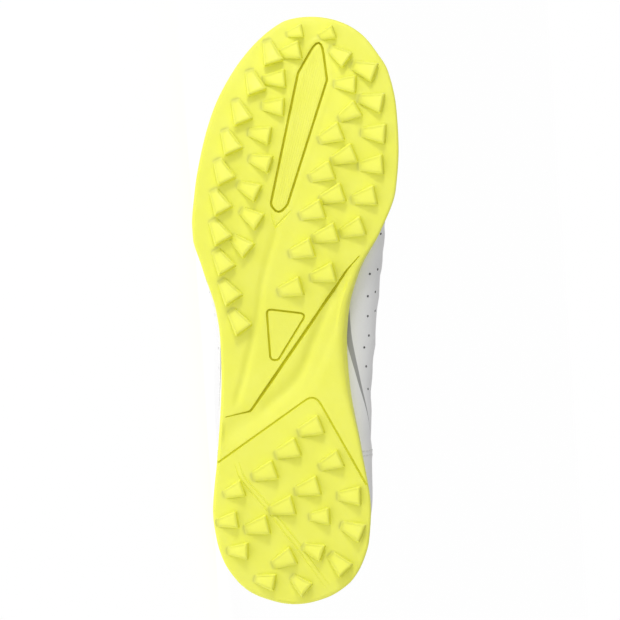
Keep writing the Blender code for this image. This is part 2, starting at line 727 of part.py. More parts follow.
def make_insole(parts):
    """Loose sock of foam on the floor of the sole, inside the foot of the upper."""
    bm = bmesh.new()
    inset = FOOT_INSET + UPPER_WALL + CLEARANCE

    def top_height(x):
        extra = (HEEL_INSOLE - FOREPART_INSOLE) * read(PROFILE, "heel", x / LENGTH)
        return floor_height(x) + CLEARANCE + FOREPART_INSOLE + extra

    low = sole_ring(bm, inset, lambda x: floor_height(x) + CLEARANCE)
    high = sole_ring(bm, inset, top_height)
    skin_rows(bm, [low, high], True)
    close_ring(bm, low, 1, lambda x: floor_height(x) + CLEARANCE)
    close_ring(bm, high, 2, top_height)
    return mesh_object("insole", bm, parts, material("insole_foam", (0.12, 0.12, 0.13), 0.9))


def ribbon(bm, points, ups):
    """Flat lace along the points, lying square to the given ways up."""
    rows = []
    for k, (point, up) in enumerate(zip(points, ups)):
        way = (points[min(k + 1, len(points) - 1)] - points[max(k - 1, 0)]).normalized()
        beside = way.cross(up).normalized() * LACE_WIDTH / 2.0
        over = beside.cross(way).normalized() * LACE_THICKNESS / 2.0
        corners = (point - beside - over, point + beside - over, point + beside + over, point - beside + over)
        rows.append([bm.verts.new(corner) for corner in corners])
    skin_rows(bm, rows, True)
    bm.faces.new(rows[0])
    bm.faces.new(rows[-1])


def lace_run(bm, start, end, start_side, end_side, lift):
    """One run of lace from a hole on one side to a hole on the other."""
    steps = 8
    out = OVERLAY_STEP + LACE_LIFT + LACE_THICKNESS / 2.0 + lift
    points, ups = [], []
    for k in range(steps + 1):
        t = k / steps
        along = start + (end - start) * t
        gap = read(SECTIONS, "gap", along) * BALL_WIDTH
        reach = gap + HOLE_FROM_EDGE
        across = reach * (start_side + (end_side - start_side) * t)
        here = instep_point(along, across, out)
        points.append(here)
        ups.append((instep_point(along, across, out + 0.001) - here).normalized())
    ribbon(bm, points, ups)


def make_laces(parts, cutters):
    places = eyelet_places()
    finish = material("lace_white", (0.80, 0.80, 0.80), 0.85)
    runs = [("lace_bar", places[0], places[0], -1.0, 1.0)]
    for k in range(EYELET_PAIRS - 1):
        runs.append((f"lace_over_{k + 1}", places[k], places[k + 1], -1.0, 1.0))
        runs.append((f"lace_under_{k + 1}", places[k], places[k + 1], 1.0, -1.0))
    laces = None
    for name, start, end, start_side, end_side in runs:
        bm = bmesh.new()
        lace_run(bm, start, end, start_side, end_side, 0.0004 if "over" in name else 0.0)
        if laces is None:
            laces = mesh_object("laces", bm, parts, finish)
        else:
            add_boolean(laces, mesh_object(name, bm, cutters), "UNION")
    return laces


# Rest on the lateral side

def evaluated_mesh(shape):
    graph = bpy.context.evaluated_depsgraph_get()
    return bpy.data.meshes.new_from_object(shape.evaluated_get(graph))


def mass_and_moment(mesh, density):
    """Weight of a closed mesh and its weight times the centre, from the tetrahedra to the origin."""
    mesh.calc_loop_triangles()
    volume, moment = 0.0, Vector()
    for face in mesh.loop_triangles:
        a, b, c = (mesh.vertices[k].co for k in face.vertices)
        part = a.dot(b.cross(c)) / 6.0
        volume += part
        moment += (a + b + c) * part / 4.0
    return volume * density, moment * density


def resting_plane(meshes, centre):
    """Point and outward way of the hull's face on which the shoe lies still on its lateral side."""
    hull = bmesh.new()
    for mesh in meshes:
        for vertex in mesh.vertices:
            hull.verts.new(vertex.co)
    found = bmesh.ops.convex_hull(hull, input=hull.verts)
    kept = {item for item in found["geom"] if isinstance(item, bmesh.types.BMFace)}
    bmesh.ops.delete(hull, geom=[face for face in hull.faces if face not in kept], context="FACES_ONLY")
    bmesh.ops.recalc_face_normals(hull, faces=hull.faces)
    tree = BVHTree.FromBMesh(hull)
    way = Vector((0.0, -1.0, 0.0))
    rolls = 12
    for roll in range(rolls):
        point, square, index, distance = tree.ray_cast(centre, way)
        if (square - way).length < 1e-6:
            break
        way = square if square.dot(way) > 0.0 else -square
    hull.free()
    return point, way


def lay_down(shapes, cutters, parts):
    """Lays the shoe on its lateral side and cuts the small flats that touch the floor."""
    meshes = {shape.name: evaluated_mesh(shape) for shape in shapes}
    weights = [mass_and_moment(meshes[name], DENSITY[name]) for name in meshes]
    total = sum(weight for weight, moment in weights)
    centre = sum((moment for weight, moment in weights), Vector()) / total
    point, down = resting_plane(meshes.values(), centre)
    ahead = Vector((1.0, 0.0, 0.0))
    ahead = (ahead - down * ahead.dot(down)).normalized()
    # World axes written in the shoe's own: toe towards -X, sole towards -Y, lateral side down
    axes = Matrix((-ahead, down.cross(ahead), -down))
    if axes.determinant() < 0.0:
        axes[1] = -axes[1]
    turned = axes.to_4x4()
    floor = (axes @ point).z + FLAT_DEPTH
    corners = [turned @ vertex.co for mesh in meshes.values() for vertex in mesh.vertices]
    middle_x = (min(c.x for c in corners) + max(c.x for c in corners)) / 2.0
    middle_y = (min(c.y for c in corners) + max(c.y for c in corners)) / 2.0
    place = Matrix.Translation((-middle_x, -middle_y, -floor)) @ turned
    for mesh in meshes.values():
        bpy.data.meshes.remove(mesh)

    bm = bmesh.new()
    thick = 0.05
    box = place.inverted() @ Matrix.Translation((0.0, 0.0, -thick / 2.0))
    bmesh.ops.create_cube(bm, size=1.0, matrix=box @ Matrix.Diagonal((2 * LENGTH, 2 * LENGTH, thick, 1.0)))
    ground = mesh_object("ground_cut", bm, cutters)
    for shape in shapes:
        if shape.name in ("outsole", "upper"):
            add_boolean(shape, ground, "DIFFERENCE")

    frame = bpy.data.objects.new("shoe_lying_on_its_side", None)
    parts.objects.link(frame)
    frame.matrix_world = place
    for item in list(parts.objects) + list(cutters.objects):
        if item is not frame:
            item.parent = frame


def build():
    for old in list(bpy.data.objects):
        bpy.data.objects.remove(old)
    parts = bpy.data.collections.new("football_shoe")
    cutters = bpy.data.collections.new("cutters")
    for collection in (parts, cutters):
        bpy.context.scene.collection.children.link(collection)
    shapes = [
        make_outsole(parts, cutters),
        make_upper(parts, cutters),
        make_tongue(parts),
        make_insole(parts),
        make_laces(parts, cutters),
    ]
    lay_down(shapes, cutters, parts)


build()
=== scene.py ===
# %% [markdown]
# # A turf football shoe that lies on its side
# A shoe for artificial turf is glued together from a few pieces: a moulded rubber outsole with many
# small lugs, a sewn upper, a padded tongue, a loose insole and one flat lace. The
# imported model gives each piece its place. This lesson gives each piece its finish: rounded lugs and
# moulded lines, panels with stitches, a quilted tongue, woven lace and soft light.

# %% Load the frame and keep its box
import functools
import math

import bmesh
import bpy
from mathutils import Euler, Matrix, Vector


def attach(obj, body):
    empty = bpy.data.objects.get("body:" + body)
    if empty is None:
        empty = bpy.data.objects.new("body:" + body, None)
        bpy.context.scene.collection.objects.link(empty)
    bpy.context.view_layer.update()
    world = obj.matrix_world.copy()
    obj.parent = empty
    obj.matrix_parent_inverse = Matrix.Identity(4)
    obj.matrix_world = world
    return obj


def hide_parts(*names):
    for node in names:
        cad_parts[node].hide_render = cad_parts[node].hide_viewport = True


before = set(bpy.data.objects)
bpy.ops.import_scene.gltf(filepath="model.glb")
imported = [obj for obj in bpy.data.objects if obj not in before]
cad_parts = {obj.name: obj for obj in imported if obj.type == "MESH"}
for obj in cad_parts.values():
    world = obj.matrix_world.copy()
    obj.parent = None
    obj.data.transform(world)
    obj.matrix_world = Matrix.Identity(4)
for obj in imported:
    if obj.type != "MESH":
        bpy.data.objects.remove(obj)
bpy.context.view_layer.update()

bpy.ops.object.select_all(action="DESELECT")

# %% [markdown]
# ## The shoe's own axes
# A shoemaker measures a shoe upright: along it from heel to toe, across it from the lateral to the
# medial side, and up from the floor. Every curve below is written in those axes, in metres, and each
# finished piece is laid on its side by one turn and one move at the end. That keeps the numbers those
# of a last maker: length, ball width, instep height and heel height.

# %% Main sizes
LENGTH = 0.288
BALL_WIDTH = 0.100
INSTEP_HEIGHT = 0.088
HEEL_HEIGHT = 0.078
TOE_SPRING = 0.010
LUG_HEIGHT = 0.0050
SIDE_HEIGHT = 0.0125
RIM_WALL = 0.0026
UPPER_WALL = 0.0018
OVERLAY_STEP = 0.0008
CLEARANCE = 0.0003

SHOE_TURN = Euler((math.radians(93.22365), math.radians(-3.83118), math.radians(-180.0)))
SHOE_PLACE = Vector((0.14332, -0.057575, 0.038102))
LAID = Matrix.LocRotScale(SHOE_PLACE, SHOE_TURN, None)
print("the toe points to", (LAID.to_3x3() @ Vector((1, 0, 0))).to_tuple(3))

# %% [markdown]
# ## Tables for the last
# The outline of the sole, its profile and the sections of the upper are short tables. Each row is a
# share of the length, and a smooth curve joins the rows. The curve runs in the angle round the
# outline and not in the length, because the heel and toe are round there.

# %% A table with named columns
def table(columns, *rows):
    return {name: [row[place] for row in rows] for place, name in enumerate(columns.split())}


OUTLINE = table(
    "along lateral medial",
    (0.000, 0.000, 0.000),
    (0.007, 0.120, 0.120),
    (0.014, 0.178, 0.174),
    (0.024, 0.231, 0.223),
    (0.041, 0.285, 0.280),
    (0.075, 0.350, 0.336),
    (0.109, 0.382, 0.363),
    (0.160, 0.401, 0.372),
    (0.262, 0.377, 0.328),
    (0.381, 0.360, 0.267),
    (0.449, 0.366, 0.255),
    (0.500, 0.387, 0.265),
    (0.568, 0.451, 0.319),
    (0.636, 0.505, 0.422),
    (0.704, 0.490, 0.493),
    (0.772, 0.456, 0.507),
    (0.840, 0.400, 0.497),
    (0.908, 0.300, 0.454),
    (0.940, 0.232, 0.398),
    (0.966, 0.160, 0.338),
    (0.983, 0.098, 0.272),
    (0.993, 0.047, 0.206),
    (1.000, -0.078, 0.078),
)

PROFILE = table(
    "along lift side heel slope",
    (0.00, 0.22, 1.15, 1.0, 0.0),
    (0.06, 0.04, 1.12, 1.0, 0.0),
    (0.15, 0.00, 1.08, 1.0, 0.0),
    (0.28, 0.08, 1.02, 0.8, 0.2),
    (0.42, 0.38, 0.94, 0.4, 1.0),
    (0.55, 0.12, 0.88, 0.0, 0.5),
    (0.66, 0.00, 0.84, 0.0, 0.0),
    (0.74, 0.03, 0.84, 0.0, 0.0),
    (0.84, 0.22, 0.90, 0.0, 0.0),
    (0.93, 0.58, 1.00, 0.0, 0.0),
    (1.00, 1.00, 1.05, 0.0, 0.0),
)

SECTIONS = table(
    "along bulge_lateral bulge_medial waist top gap heel instep round crest",
    (0.000, -0.004, -0.004, 0.37, 0.034, 0.000, 1.00, 0.00, 0.0, 0.000),
    (0.050, -0.008, -0.008, 0.37, 0.056, 0.150, 0.99, 0.00, 0.0, 0.000),
    (0.110, -0.012, -0.012, 0.36, 0.105, 0.240, 0.95, 0.00, 0.0, 0.000),
    (0.180, -0.010, 0.006, 0.36, 0.176, 0.290, 0.88, 0.00, 0.0, 0.000),
    (0.260, -0.002, 0.044, 0.37, 0.262, 0.305, 0.81, 0.00, 0.0, 0.000),
    (0.320, 0.012, 0.084, 0.39, 0.328, 0.295, 0.80, 0.00, 0.0, 0.000),
    (0.380, 0.017, 0.113, 0.41, 0.388, 0.250, 0.52, 0.37, 0.1, 0.005),
    (0.450, 0.015, 0.142, 0.41, 0.450, 0.180, 0.00, 1.00, 0.5, 0.015),
    (0.520, 0.014, 0.137, 0.39, 0.520, 0.140, 0.00, 0.91, 0.6, 0.025),
    (0.580, 0.000, 0.100, 0.37, 0.580, 0.125, 0.00, 0.835, 0.7, 0.035),
    (0.635, -0.012, 0.026, 0.34, 0.635, 0.105, 0.00, 0.765, 0.8, 0.042),
    (0.660, -0.014, -0.002, 0.33, 0.660, 0.000, 0.00, 0.735, 1.0, 0.045),
    (0.710, -0.014, -0.012, 0.31, 0.710, 0.000, 0.00, 0.680, 1.0, 0.050),
    (0.780, -0.014, -0.014, 0.31, 0.780, 0.000, 0.00, 0.625, 1.0, 0.055),
    (0.860, -0.014, -0.014, 0.32, 0.857, 0.000, 0.00, 0.575, 1.0, 0.062),
    (0.930, -0.014, -0.014, 0.34, 0.918, 0.000, 0.00, 0.520, 1.0, 0.068),
    (0.980, -0.014, -0.014, 0.36, 0.950, 0.000, 0.00, 0.472, 1.0, 0.072),
    (1.000, -0.014, -0.014, 0.37, 0.960, 0.000, 0.00, 0.452, 1.0, 0.074),
)
print("sections of the upper:", len(SECTIONS["along"]))

# %% Read a table on a smooth curve
def turn_of(along):
    return math.acos(max(-1.0, min(1.0, 1.0 - 2.0 * along)))


def along_of(turn):
    return (1.0 - math.cos(turn)) / 2.0


def read(rows, column, along):
    keys = [turn_of(value) for value in rows["along"]]
    values = rows[column]
    here = min(max(turn_of(along), keys[0]), keys[-1])
    place = max(k for k in range(len(keys) - 1) if keys[k] <= here)

    def rise(k):
        return (values[k + 1] - values[k]) / (keys[k + 1] - keys[k])

    def tangent(k):
        if k == 0 or k == len(keys) - 1:
            return rise(min(k, len(keys) - 2))
        before, after = rise(k - 1), rise(k)
        return 0.0 if before * after <= 0.0 else 2.0 * before * after / (before + after)

    width = keys[place + 1] - keys[place]
    t = (here - keys[place]) / width
    start, end = values[place], values[place + 1]
    return ((2 * t**3 - 3 * t**2 + 1) * start + (t**3 - 2 * t**2 + t) * width * tangent(place)
            + (3 * t**2 - 2 * t**3) * end + (t**3 - t**2) * width * tangent(place + 1))


def fade(value, low, high):
    """0 below low and 1 above high, with a soft change between."""
    t = max(0.0, min(1.0, (value - low) / (high - low)))
    return t * t * (3.0 - 2.0 * t)


# %% Outline and heights of the sole
def outline_loop(turn):
    turn = (turn + math.pi) % (2.0 * math.pi) - math.pi
    along = along_of(turn)
    side = read(OUTLINE, "medial", along) if turn >= 0.0 else -read(OUTLINE, "lateral", along)
    return Vector((along * LENGTH, side * BALL_WIDTH, 0.0))


@functools.lru_cache(maxsize=None)
def outline_frame(along, side):
    """Plan point of the outline on one side and the way square to it that points inwards."""
    turn = side * turn_of(along)
    step = 0.012
    way = (outline_loop(turn + step) - outline_loop(turn - step)).normalized()
    return outline_loop(turn), Vector((way.y, -way.x, 0.0))


def outline_point(along, side, inset=0.0):
    point, inward = outline_frame(along, side)
    return point + inward * inset


@functools.lru_cache(maxsize=None)
def profile(column, along):
    return read(PROFILE, column, along)


def underside(x):
    return LUG_HEIGHT + TOE_SPRING * profile("lift", x / LENGTH)


def floor_height(x):
    return underside(x) + 0.0045 + 0.0030 * profile("heel", x / LENGTH)


def rim_height(x):
    return underside(x) + SIDE_HEIGHT * profile("side", x / LENGTH)


def raised(point, height):
    return Vector((point.x, point.y, height))


# %% [markdown]
# ## From a mesh to a piece
# A piece is built upright and then laid on its side. The floor presses the two places that carry the
# shoe flat, so nothing reaches below it. The object itself stays at the origin, unturned, and only
# its mesh moves, so a grain on Object coordinates stays where it is.

# %% Helpers for meshes
def skin_rows(bm, rows, closed):
    """Quads between rows of vertices; each row is closed into a ring where asked."""
    made = []
    for lower, upper in zip(rows, rows[1:]):
        count = len(lower)
        for k in range(count if closed else count - 1):
            corners = (lower[k], lower[(k + 1) % count], upper[(k + 1) % count], upper[k])
            distinct = list(dict.fromkeys(corners))
            if len(distinct) > 2:
                made.append(bm.faces.new(distinct))
    return made


def laid_piece(name, bm, finishes, outward=True):
    """A new piece from an upright mesh, laid on its side and kept above the floor."""
    if outward:
        bmesh.ops.recalc_face_normals(bm, faces=bm.faces)
    bmesh.ops.transform(bm, matrix=LAID, verts=bm.verts)
    for vert in bm.verts:
        vert.co.z = max(vert.co.z, 0.0)
    mesh = bpy.data.meshes.new(name)
    bm.to_mesh(mesh)
    bm.free()
    piece = bpy.data.objects.new(name, mesh)
    bpy.context.scene.collection.objects.link(piece)
    for finish in finishes:
        mesh.materials.append(finish)
    return piece


def choose(piece):
    bpy.ops.object.select_all(action="DESELECT")
    piece.select_set(True)
    bpy.context.view_layer.objects.active = piece


def smooth(piece, degrees):
    choose(piece)
    bpy.ops.object.shade_smooth_by_angle(angle=math.radians(degrees))


def triangles(piece):
    return sum(len(face.vertices) - 2 for face in piece.data.polygons)


# %% [markdown]
# ## Finishes
# Each finish is one Principled shader with its pattern made by nodes. Moulded rubber has a fine mould
# grain and a satin gloss. Coated synthetic leather has a soft pebble grain under a thin clear coat.
# Knitted lining, tongue mesh and lace are weaves, and these follow the cloth by their own UV map.

# %% Node helpers
def new_finish(name, colour, roughness, coat=0.0, specular=0.5):
    finish = bpy.data.materials.new(name)
    finish.use_nodes = True
    shader = finish.node_tree.nodes["Principled BSDF"]
    shader.inputs["Base Color"].default_value = (*colour, 1.0)
    shader.inputs["Roughness"].default_value = roughness
    shader.inputs["Coat Weight"].default_value = coat
    shader.inputs["Coat Roughness"].default_value = 0.25
    shader.inputs["Specular IOR Level"].default_value = specular
    return finish, finish.node_tree.nodes, finish.node_tree.links, shader


def noise(nodes, links, place, scale, detail=3.0, rough=0.5):
    grain = nodes.new("ShaderNodeTexNoise")
    grain.inputs["Scale"].default_value = scale
    grain.inputs["Detail"].default_value = detail
    grain.inputs["Roughness"].default_value = rough
    links.new(place, grain.inputs["Vector"])
    return grain.outputs["Fac"]


def ranged(nodes, links, value, low, high, to_low, to_high):
    node = nodes.new("ShaderNodeMapRange")
    for name, number in (("From Min", low), ("From Max", high), ("To Min", to_low), ("To Max", to_high)):
        node.inputs[name].default_value = number
    links.new(value, node.inputs["Value"])
    return node.outputs["Result"]


def blended(nodes, links, share, first, second):
    """Colour between two colours, each a tuple or a socket."""
    node = nodes.new("ShaderNodeMix")
    node.data_type = "RGBA"
    links.new(share, node.inputs["Factor"])
    for socket, colour in ((node.inputs[6], first), (node.inputs[7], second)):
        if isinstance(colour, tuple):
            socket.default_value = (*colour, 1.0)
        else:
            links.new(colour, socket)
    return node.outputs[2]


def bumped(nodes, links, shader, height, distance, strength=1.0, before=None):
    bump = nodes.new("ShaderNodeBump")
    bump.inputs["Distance"].default_value = distance
    bump.inputs["Strength"].default_value = strength
    links.new(height, bump.inputs["Height"])
    if before is not None:
        links.new(before, bump.inputs["Normal"])
    links.new(bump.outputs["Normal"], shader.inputs["Normal"])
    return bump.outputs["Normal"]


def waves(nodes, links, place, pitch, turn=0.0):
    """Bands a pitch apart, turned in the plane of the coordinates."""
    mapping = nodes.new("ShaderNodeMapping")
    mapping.inputs["Rotation"].default_value = (0.0, 0.0, math.radians(turn))
    links.new(place, mapping.inputs["Vector"])
    wave = nodes.new("ShaderNodeTexWave")
    wave.inputs["Scale"].default_value = 2.0 * math.pi / (20.0 * pitch)
    links.new(mapping.outputs["Vector"], wave.inputs["Vector"])
    return wave.outputs["Fac"]


def summed(nodes, links, first, second, how="ADD"):
    node = nodes.new("ShaderNodeMath")
    node.operation = how
    links.new(first, node.inputs[0])
    if isinstance(second, float):
        node.inputs[1].default_value = second
    else:
        links.new(second, node.inputs[1])
    return node.outputs["Value"]


def object_place(nodes):
    return nodes.new("ShaderNodeTexCoord").outputs["Object"]


def uv_place(nodes):
    return nodes.new("ShaderNodeTexCoord").outputs["UV"]

# %% [markdown]
# ### Neon rubber
# The rubber is dyed right through, so cuts and edges have the same colour. What makes it look
# moulded is a dull, slightly uneven skin and a little light that wanders under it. Steep lug faces and
# the bottoms of the crisp lines get a deeper yellow, which is painted shade. The window under the forefoot has fine
# ribs, too small to model, so they are bump on a map that holds the plan of the sole in metres.

# %% Neon rubber
def rubber_finish(name, ribbed, tones=((0.950, 0.965, 0.120), (0.965, 0.980, 0.145))):
    finish, nodes, links, shader = new_finish(name, (0.93, 0.95, 0.085), 0.46, 0.0, 0.4)
    shader.inputs["Subsurface Weight"].default_value = 0.30
    shader.inputs["Subsurface Scale"].default_value = 0.0016
    shader.inputs["Subsurface Radius"].default_value = (1.0, 1.0, 0.25)
    place = object_place(nodes)
    tone = ranged(nodes, links, noise(nodes, links, place, 90.0), 0.3, 0.7, 0.0, 1.0)
    colour = blended(nodes, links, tone, *tones)
    links.new(colour, shader.inputs["Base Color"])
    rough = ranged(nodes, links, noise(nodes, links, place, 420.0), 0.3, 0.7, 0.38, 0.54)
    links.new(rough, shader.inputs["Roughness"])
    normal = bumped(nodes, links, shader, noise(nodes, links, place, 1600.0, 2.0), 0.00006, 0.5)
    normal = bumped(nodes, links, shader, noise(nodes, links, place, 120.0, 2.0), 0.0008, 0.45, normal)
    if ribbed:
        ribs = waves(nodes, links, uv_place(nodes), 0.0011, 76.0)
        bumped(nodes, links, shader, ribs, 0.0002, 0.35, normal)
    return finish


RUBBER = rubber_finish("neon_rubber", False)
RIBBED_RUBBER = rubber_finish("neon_rubber_ribbed", True)
# Painted shade: a deeper yellow copy of the rubber for the steep lug faces.
STEEP_SHADE_RUBBER = rubber_finish("neon_rubber_painted_shade_on_steep_faces", False, ((0.80, 0.80, 0.045), (0.86, 0.855, 0.060)))
# Painted shade: a still deeper yellow copy of the rubber for the bottoms of the crisp lines.
LINE_SHADE_RUBBER = rubber_finish("neon_rubber_painted_shade_in_lines", False, ((0.66, 0.64, 0.012), (0.74, 0.73, 0.02)))

# %% [markdown]
# ### White synthetic and its lining
# The upper is split leather's cheaper cousin: cloth with a white coating that is embossed with a fine
# grain. A second map holds length and climb up the wall in metres, and the grey accent is a triangle
# on that map, which the shader cuts crisply at its three edges.

# %% White synthetic
ACCENT = ((0.6090, -0.0020), (0.5180, -0.0020), (0.2840, 0.0135))


def accent_depth(nodes, links):
    """Metres inside the tapered print, from the map of length and climb: the least of three edges."""
    corners = [Vector((along * LENGTH, up)) for along, up in ACCENT]
    place = nodes.new("ShaderNodeUVMap")
    place.uv_map = "print"
    split = nodes.new("ShaderNodeSeparateXYZ")
    links.new(place.outputs["UV"], split.inputs["Vector"])
    least = None
    for a, b in zip(corners, corners[1:] + corners[:1]):
        edge = (b - a).normalized()
        square = Vector((edge.y, -edge.x))
        if square.dot(corners[0] + corners[1] + corners[2] - a * 3.0) < 0.0:
            square = -square
        along = summed(nodes, links, split.outputs["X"], float(square.x), "MULTIPLY")
        up = summed(nodes, links, split.outputs["Y"], float(square.y), "MULTIPLY")
        depth = summed(nodes, links, summed(nodes, links, along, up), float(-a.dot(square)))
        least = depth if least is None else summed(nodes, links, least, depth, "MINIMUM")
    return least


def synthetic_finish():
    finish, nodes, links, shader = new_finish("white_synthetic", (0.90, 0.90, 0.89), 0.42, 0.18)
    place = object_place(nodes)
    tone = ranged(nodes, links, noise(nodes, links, place, 35.0), 0.3, 0.7, 0.0, 1.0)
    white = blended(nodes, links, tone, (0.885, 0.887, 0.880), (0.925, 0.925, 0.918))
    depth = accent_depth(nodes, links)
    inside = ranged(nodes, links, depth, -0.00008, 0.00008, 0.0, 1.0)
    grey = blended(nodes, links, tone, (0.36, 0.365, 0.36), (0.41, 0.41, 0.405))
    colour = blended(nodes, links, inside, white, grey)
    links.new(colour, shader.inputs["Base Color"])
    rough = ranged(nodes, links, noise(nodes, links, place, 250.0), 0.3, 0.7, 0.36, 0.50)
    links.new(rough, shader.inputs["Roughness"])
    cells = nodes.new("ShaderNodeTexVoronoi")
    cells.inputs["Scale"].default_value = 900.0
    links.new(place, cells.inputs["Vector"])
    normal = bumped(nodes, links, shader, cells.outputs["Distance"], 0.00012, 0.45)
    normal = bumped(nodes, links, shader, noise(nodes, links, place, 60.0, 2.0), 0.0006, 0.25, normal)
    print_edge = ranged(nodes, links, depth, -0.00015, 0.00015, 0.0, 1.0)
    bumped(nodes, links, shader, print_edge, 0.0001, 0.8, normal)
    return finish


# %% Cloth that is knitted or woven
def cloth_finish(name, dark, light, pitch, depth, roughness=0.85):
    finish, nodes, links, shader = new_finish(name, light, roughness, 0.0, 0.3)
    shader.inputs["Sheen Weight"].default_value = 0.25
    place = uv_place(nodes)
    across = waves(nodes, links, place, pitch, 0.0)
    over = waves(nodes, links, place, pitch, 90.0)
    weave = summed(nodes, links, across, over, "MULTIPLY")
    fibre = noise(nodes, links, object_place(nodes), 2200.0, 2.0)
    share = ranged(nodes, links, weave, 0.0, 0.6, 0.0, 1.0)
    links.new(blended(nodes, links, share, dark, light), shader.inputs["Base Color"])
    normal = bumped(nodes, links, shader, weave, depth, 0.8)
    bumped(nodes, links, shader, fibre, depth * 0.3, 0.6, normal)
    return finish


SYNTHETIC = synthetic_finish()
LINING = cloth_finish("grey_lining", (0.24, 0.24, 0.245), (0.42, 0.42, 0.425), 0.0016, 0.0004)
TONGUE_MESH = cloth_finish("white_tongue_mesh", (0.50, 0.50, 0.50), (0.78, 0.78, 0.775), 0.0018, 0.0005)
INSOLE_CLOTH = cloth_finish("dark_insole_cloth", (0.035, 0.035, 0.04), (0.10, 0.10, 0.105), 0.0011, 0.0002)
LACE_WEAVE = cloth_finish("white_lace", (0.52, 0.52, 0.52), (0.82, 0.82, 0.815), 0.0010, 0.0003)
THREAD, *_ = new_finish("white_thread", (0.74, 0.74, 0.73), 0.6)
# Painted shadow: a dark grey for the plugs that stand for the shade inside the pinholes.
PINHOLE_SHADOW, *_ = new_finish("pinhole_shadow", (0.12, 0.12, 0.12), 0.9, 0.0, 0.2)

# %% [markdown]
# ## The outsole
# The sole unit is one moulding: a plate that follows the last, a rim round it, and lugs that bite
# into the turf. The plate is built as rings round the outline, with the underside closed by fine
# strips, so that shallow troughs can be pressed into it. The crisp lines are cut with Booleans.

# %% Lines and fields moulded in the underside, as shares of the length and the ball width
WINDOW = ((0.9720, 0.126), (0.8910, 0.157), (0.6790, -0.036), (0.6600, -0.082), (0.6790, -0.119), (0.9030, 0.015))
POINTER = ((0.6650, -0.116), (0.6400, -0.095), (0.6680, -0.022))
TRIANGLE = ((0.5015, -0.139), (0.4935, 0.056), (0.4150, -0.082), (0.4150, -0.120))
LONG_LINE = ((0.318, -0.340), (0.328, -0.217), (0.534, 0.190), (0.567, 0.252), (0.592, 0.315))
SHANK_TROUGH = ((0.548, 0.238), (0.528, 0.214), (0.466, 0.147), (0.406, 0.074), (0.372, 0.010),
                (0.338, -0.122), (0.306, -0.262), (0.290, -0.330))
SHANK_CREASE = ((0.521, 0.176), (0.443, 0.083), (0.393, 0.024), (0.366, -0.041), (0.333, -0.147))
SHANK_RIDGE = ((0.521, 0.222), (0.443, 0.131), (0.393, 0.072), (0.364, 0.010), (0.331, -0.095))
STRIP_TROUGH = ((0.636, -0.090), (0.551, -0.157), (0.483, -0.186), (0.381, -0.255), (0.345, -0.285))
HEEL_LINE = ((0.2410, -0.376), (0.3583, 0.097), (0.2030, 0.350))
HEEL_RIB = ((0.240, -0.284), (0.214, -0.255), (0.177, -0.162), (0.095, 0.025), (0.030, 0.160))


def to_plan(shares):
    return [Vector((along * LENGTH, across * BALL_WIDTH, 0.0)) for along, across in shares]


def divided(path, closed=False):
    """The path with points added on its long runs, so that a line keeps to the bend of the sole."""
    longest = 0.0025
    points = []
    ends = list(zip(path, path[1:])) + ([(path[-1], path[0])] if closed else [])
    for a, b in ends:
        count = max(1, math.ceil((b - a).length / longest))
        points += [a.lerp(b, k / count) for k in range(count)]
    return points if closed else points + [path[-1]]


def rounded(corners, radius, steps):
    """Closed path through the corners, each turned into an arc."""
    path = []
    count = len(corners)
    for k, corner in enumerate(corners):
        back = (corners[k - 1] - corner).normalized()
        front = (corners[(k + 1) % count] - corner).normalized()
        reach = radius / math.tan(back.angle(front) / 2.0)
        start, end = corner + back * reach, corner + front * reach
        for step in range(steps + 1):
            t = step / steps
            path.append(start * (1 - t) ** 2 + corner * 2 * t * (1 - t) + end * t**2)
    return divided(path, True)


def bent(corners, radius, steps):
    """Open path through the corners, with the inner ones turned into arcs."""
    path = [corners[0]]
    for before, corner, after in zip(corners, corners[1:], corners[2:]):
        start = corner + (before - corner).normalized() * radius
        end = corner + (after - corner).normalized() * radius
        for step in range(steps + 1):
            t = step / steps
            path.append(start * (1 - t) ** 2 + corner * 2 * t * (1 - t) + end * t**2)
    return divided(path + [corners[-1]])


def softened(points, steps=3):
    """Open path on a smooth curve through the points."""
    path = []
    ends = [points[0] * 2 - points[1]] + points + [points[-1] * 2 - points[-2]]
    for k in range(1, len(ends) - 2):
        a, b, c, d = ends[k - 1:k + 3]
        span = (c - b).length
        leave, arrive = (c - a).normalized() * span, (d - b).normalized() * span
        for step in range(steps):
            t = step / steps
            path.append(b * (2 * t**3 - 3 * t**2 + 1) + leave * (t**3 - 2 * t**2 + t)
                        + c * (3 * t**2 - 2 * t**3) + arrive * (t**3 - t**2))
    return path + [points[-1]]


def way_off(point, path, closed=False):
    """Distance in plan from a point to a path."""
    best = 1.0
    pairs = list(zip(path, path[1:])) + ([(path[-1], path[0])] if closed else [])
    for a, b in pairs:
        span = b - a
        t = max(0.0, min(1.0, (point - a).dot(span) / max(span.length_squared, 1e-12)))
        best = min(best, (point - a - span * t).length)
    return best


WINDOW_PATH = rounded(to_plan(WINDOW), 0.0036, 6)
TRIANGLE_PATH = rounded(to_plan(TRIANGLE), 0.0022, 5)
LONG_PATH = bent(to_plan(LONG_LINE), 0.0012, 3)
SHANK_PATH = softened(to_plan(SHANK_TROUGH), 5)
CREASE_PATH = softened(to_plan(SHANK_CREASE), 5)
RIDGE_PATH = softened(to_plan(SHANK_RIDGE), 5)
STRIP_PATH = softened(to_plan(STRIP_TROUGH), 5)
HEEL_PATH = bent(to_plan(HEEL_LINE), 0.0062, 8)
RIB_PATH = softened(to_plan(HEEL_RIB), 5)


# %% Soft relief of the underside
def trough(distance, half, depth):
    return depth * (0.5 + 0.5 * math.cos(math.pi * distance / half)) if distance < half else 0.0


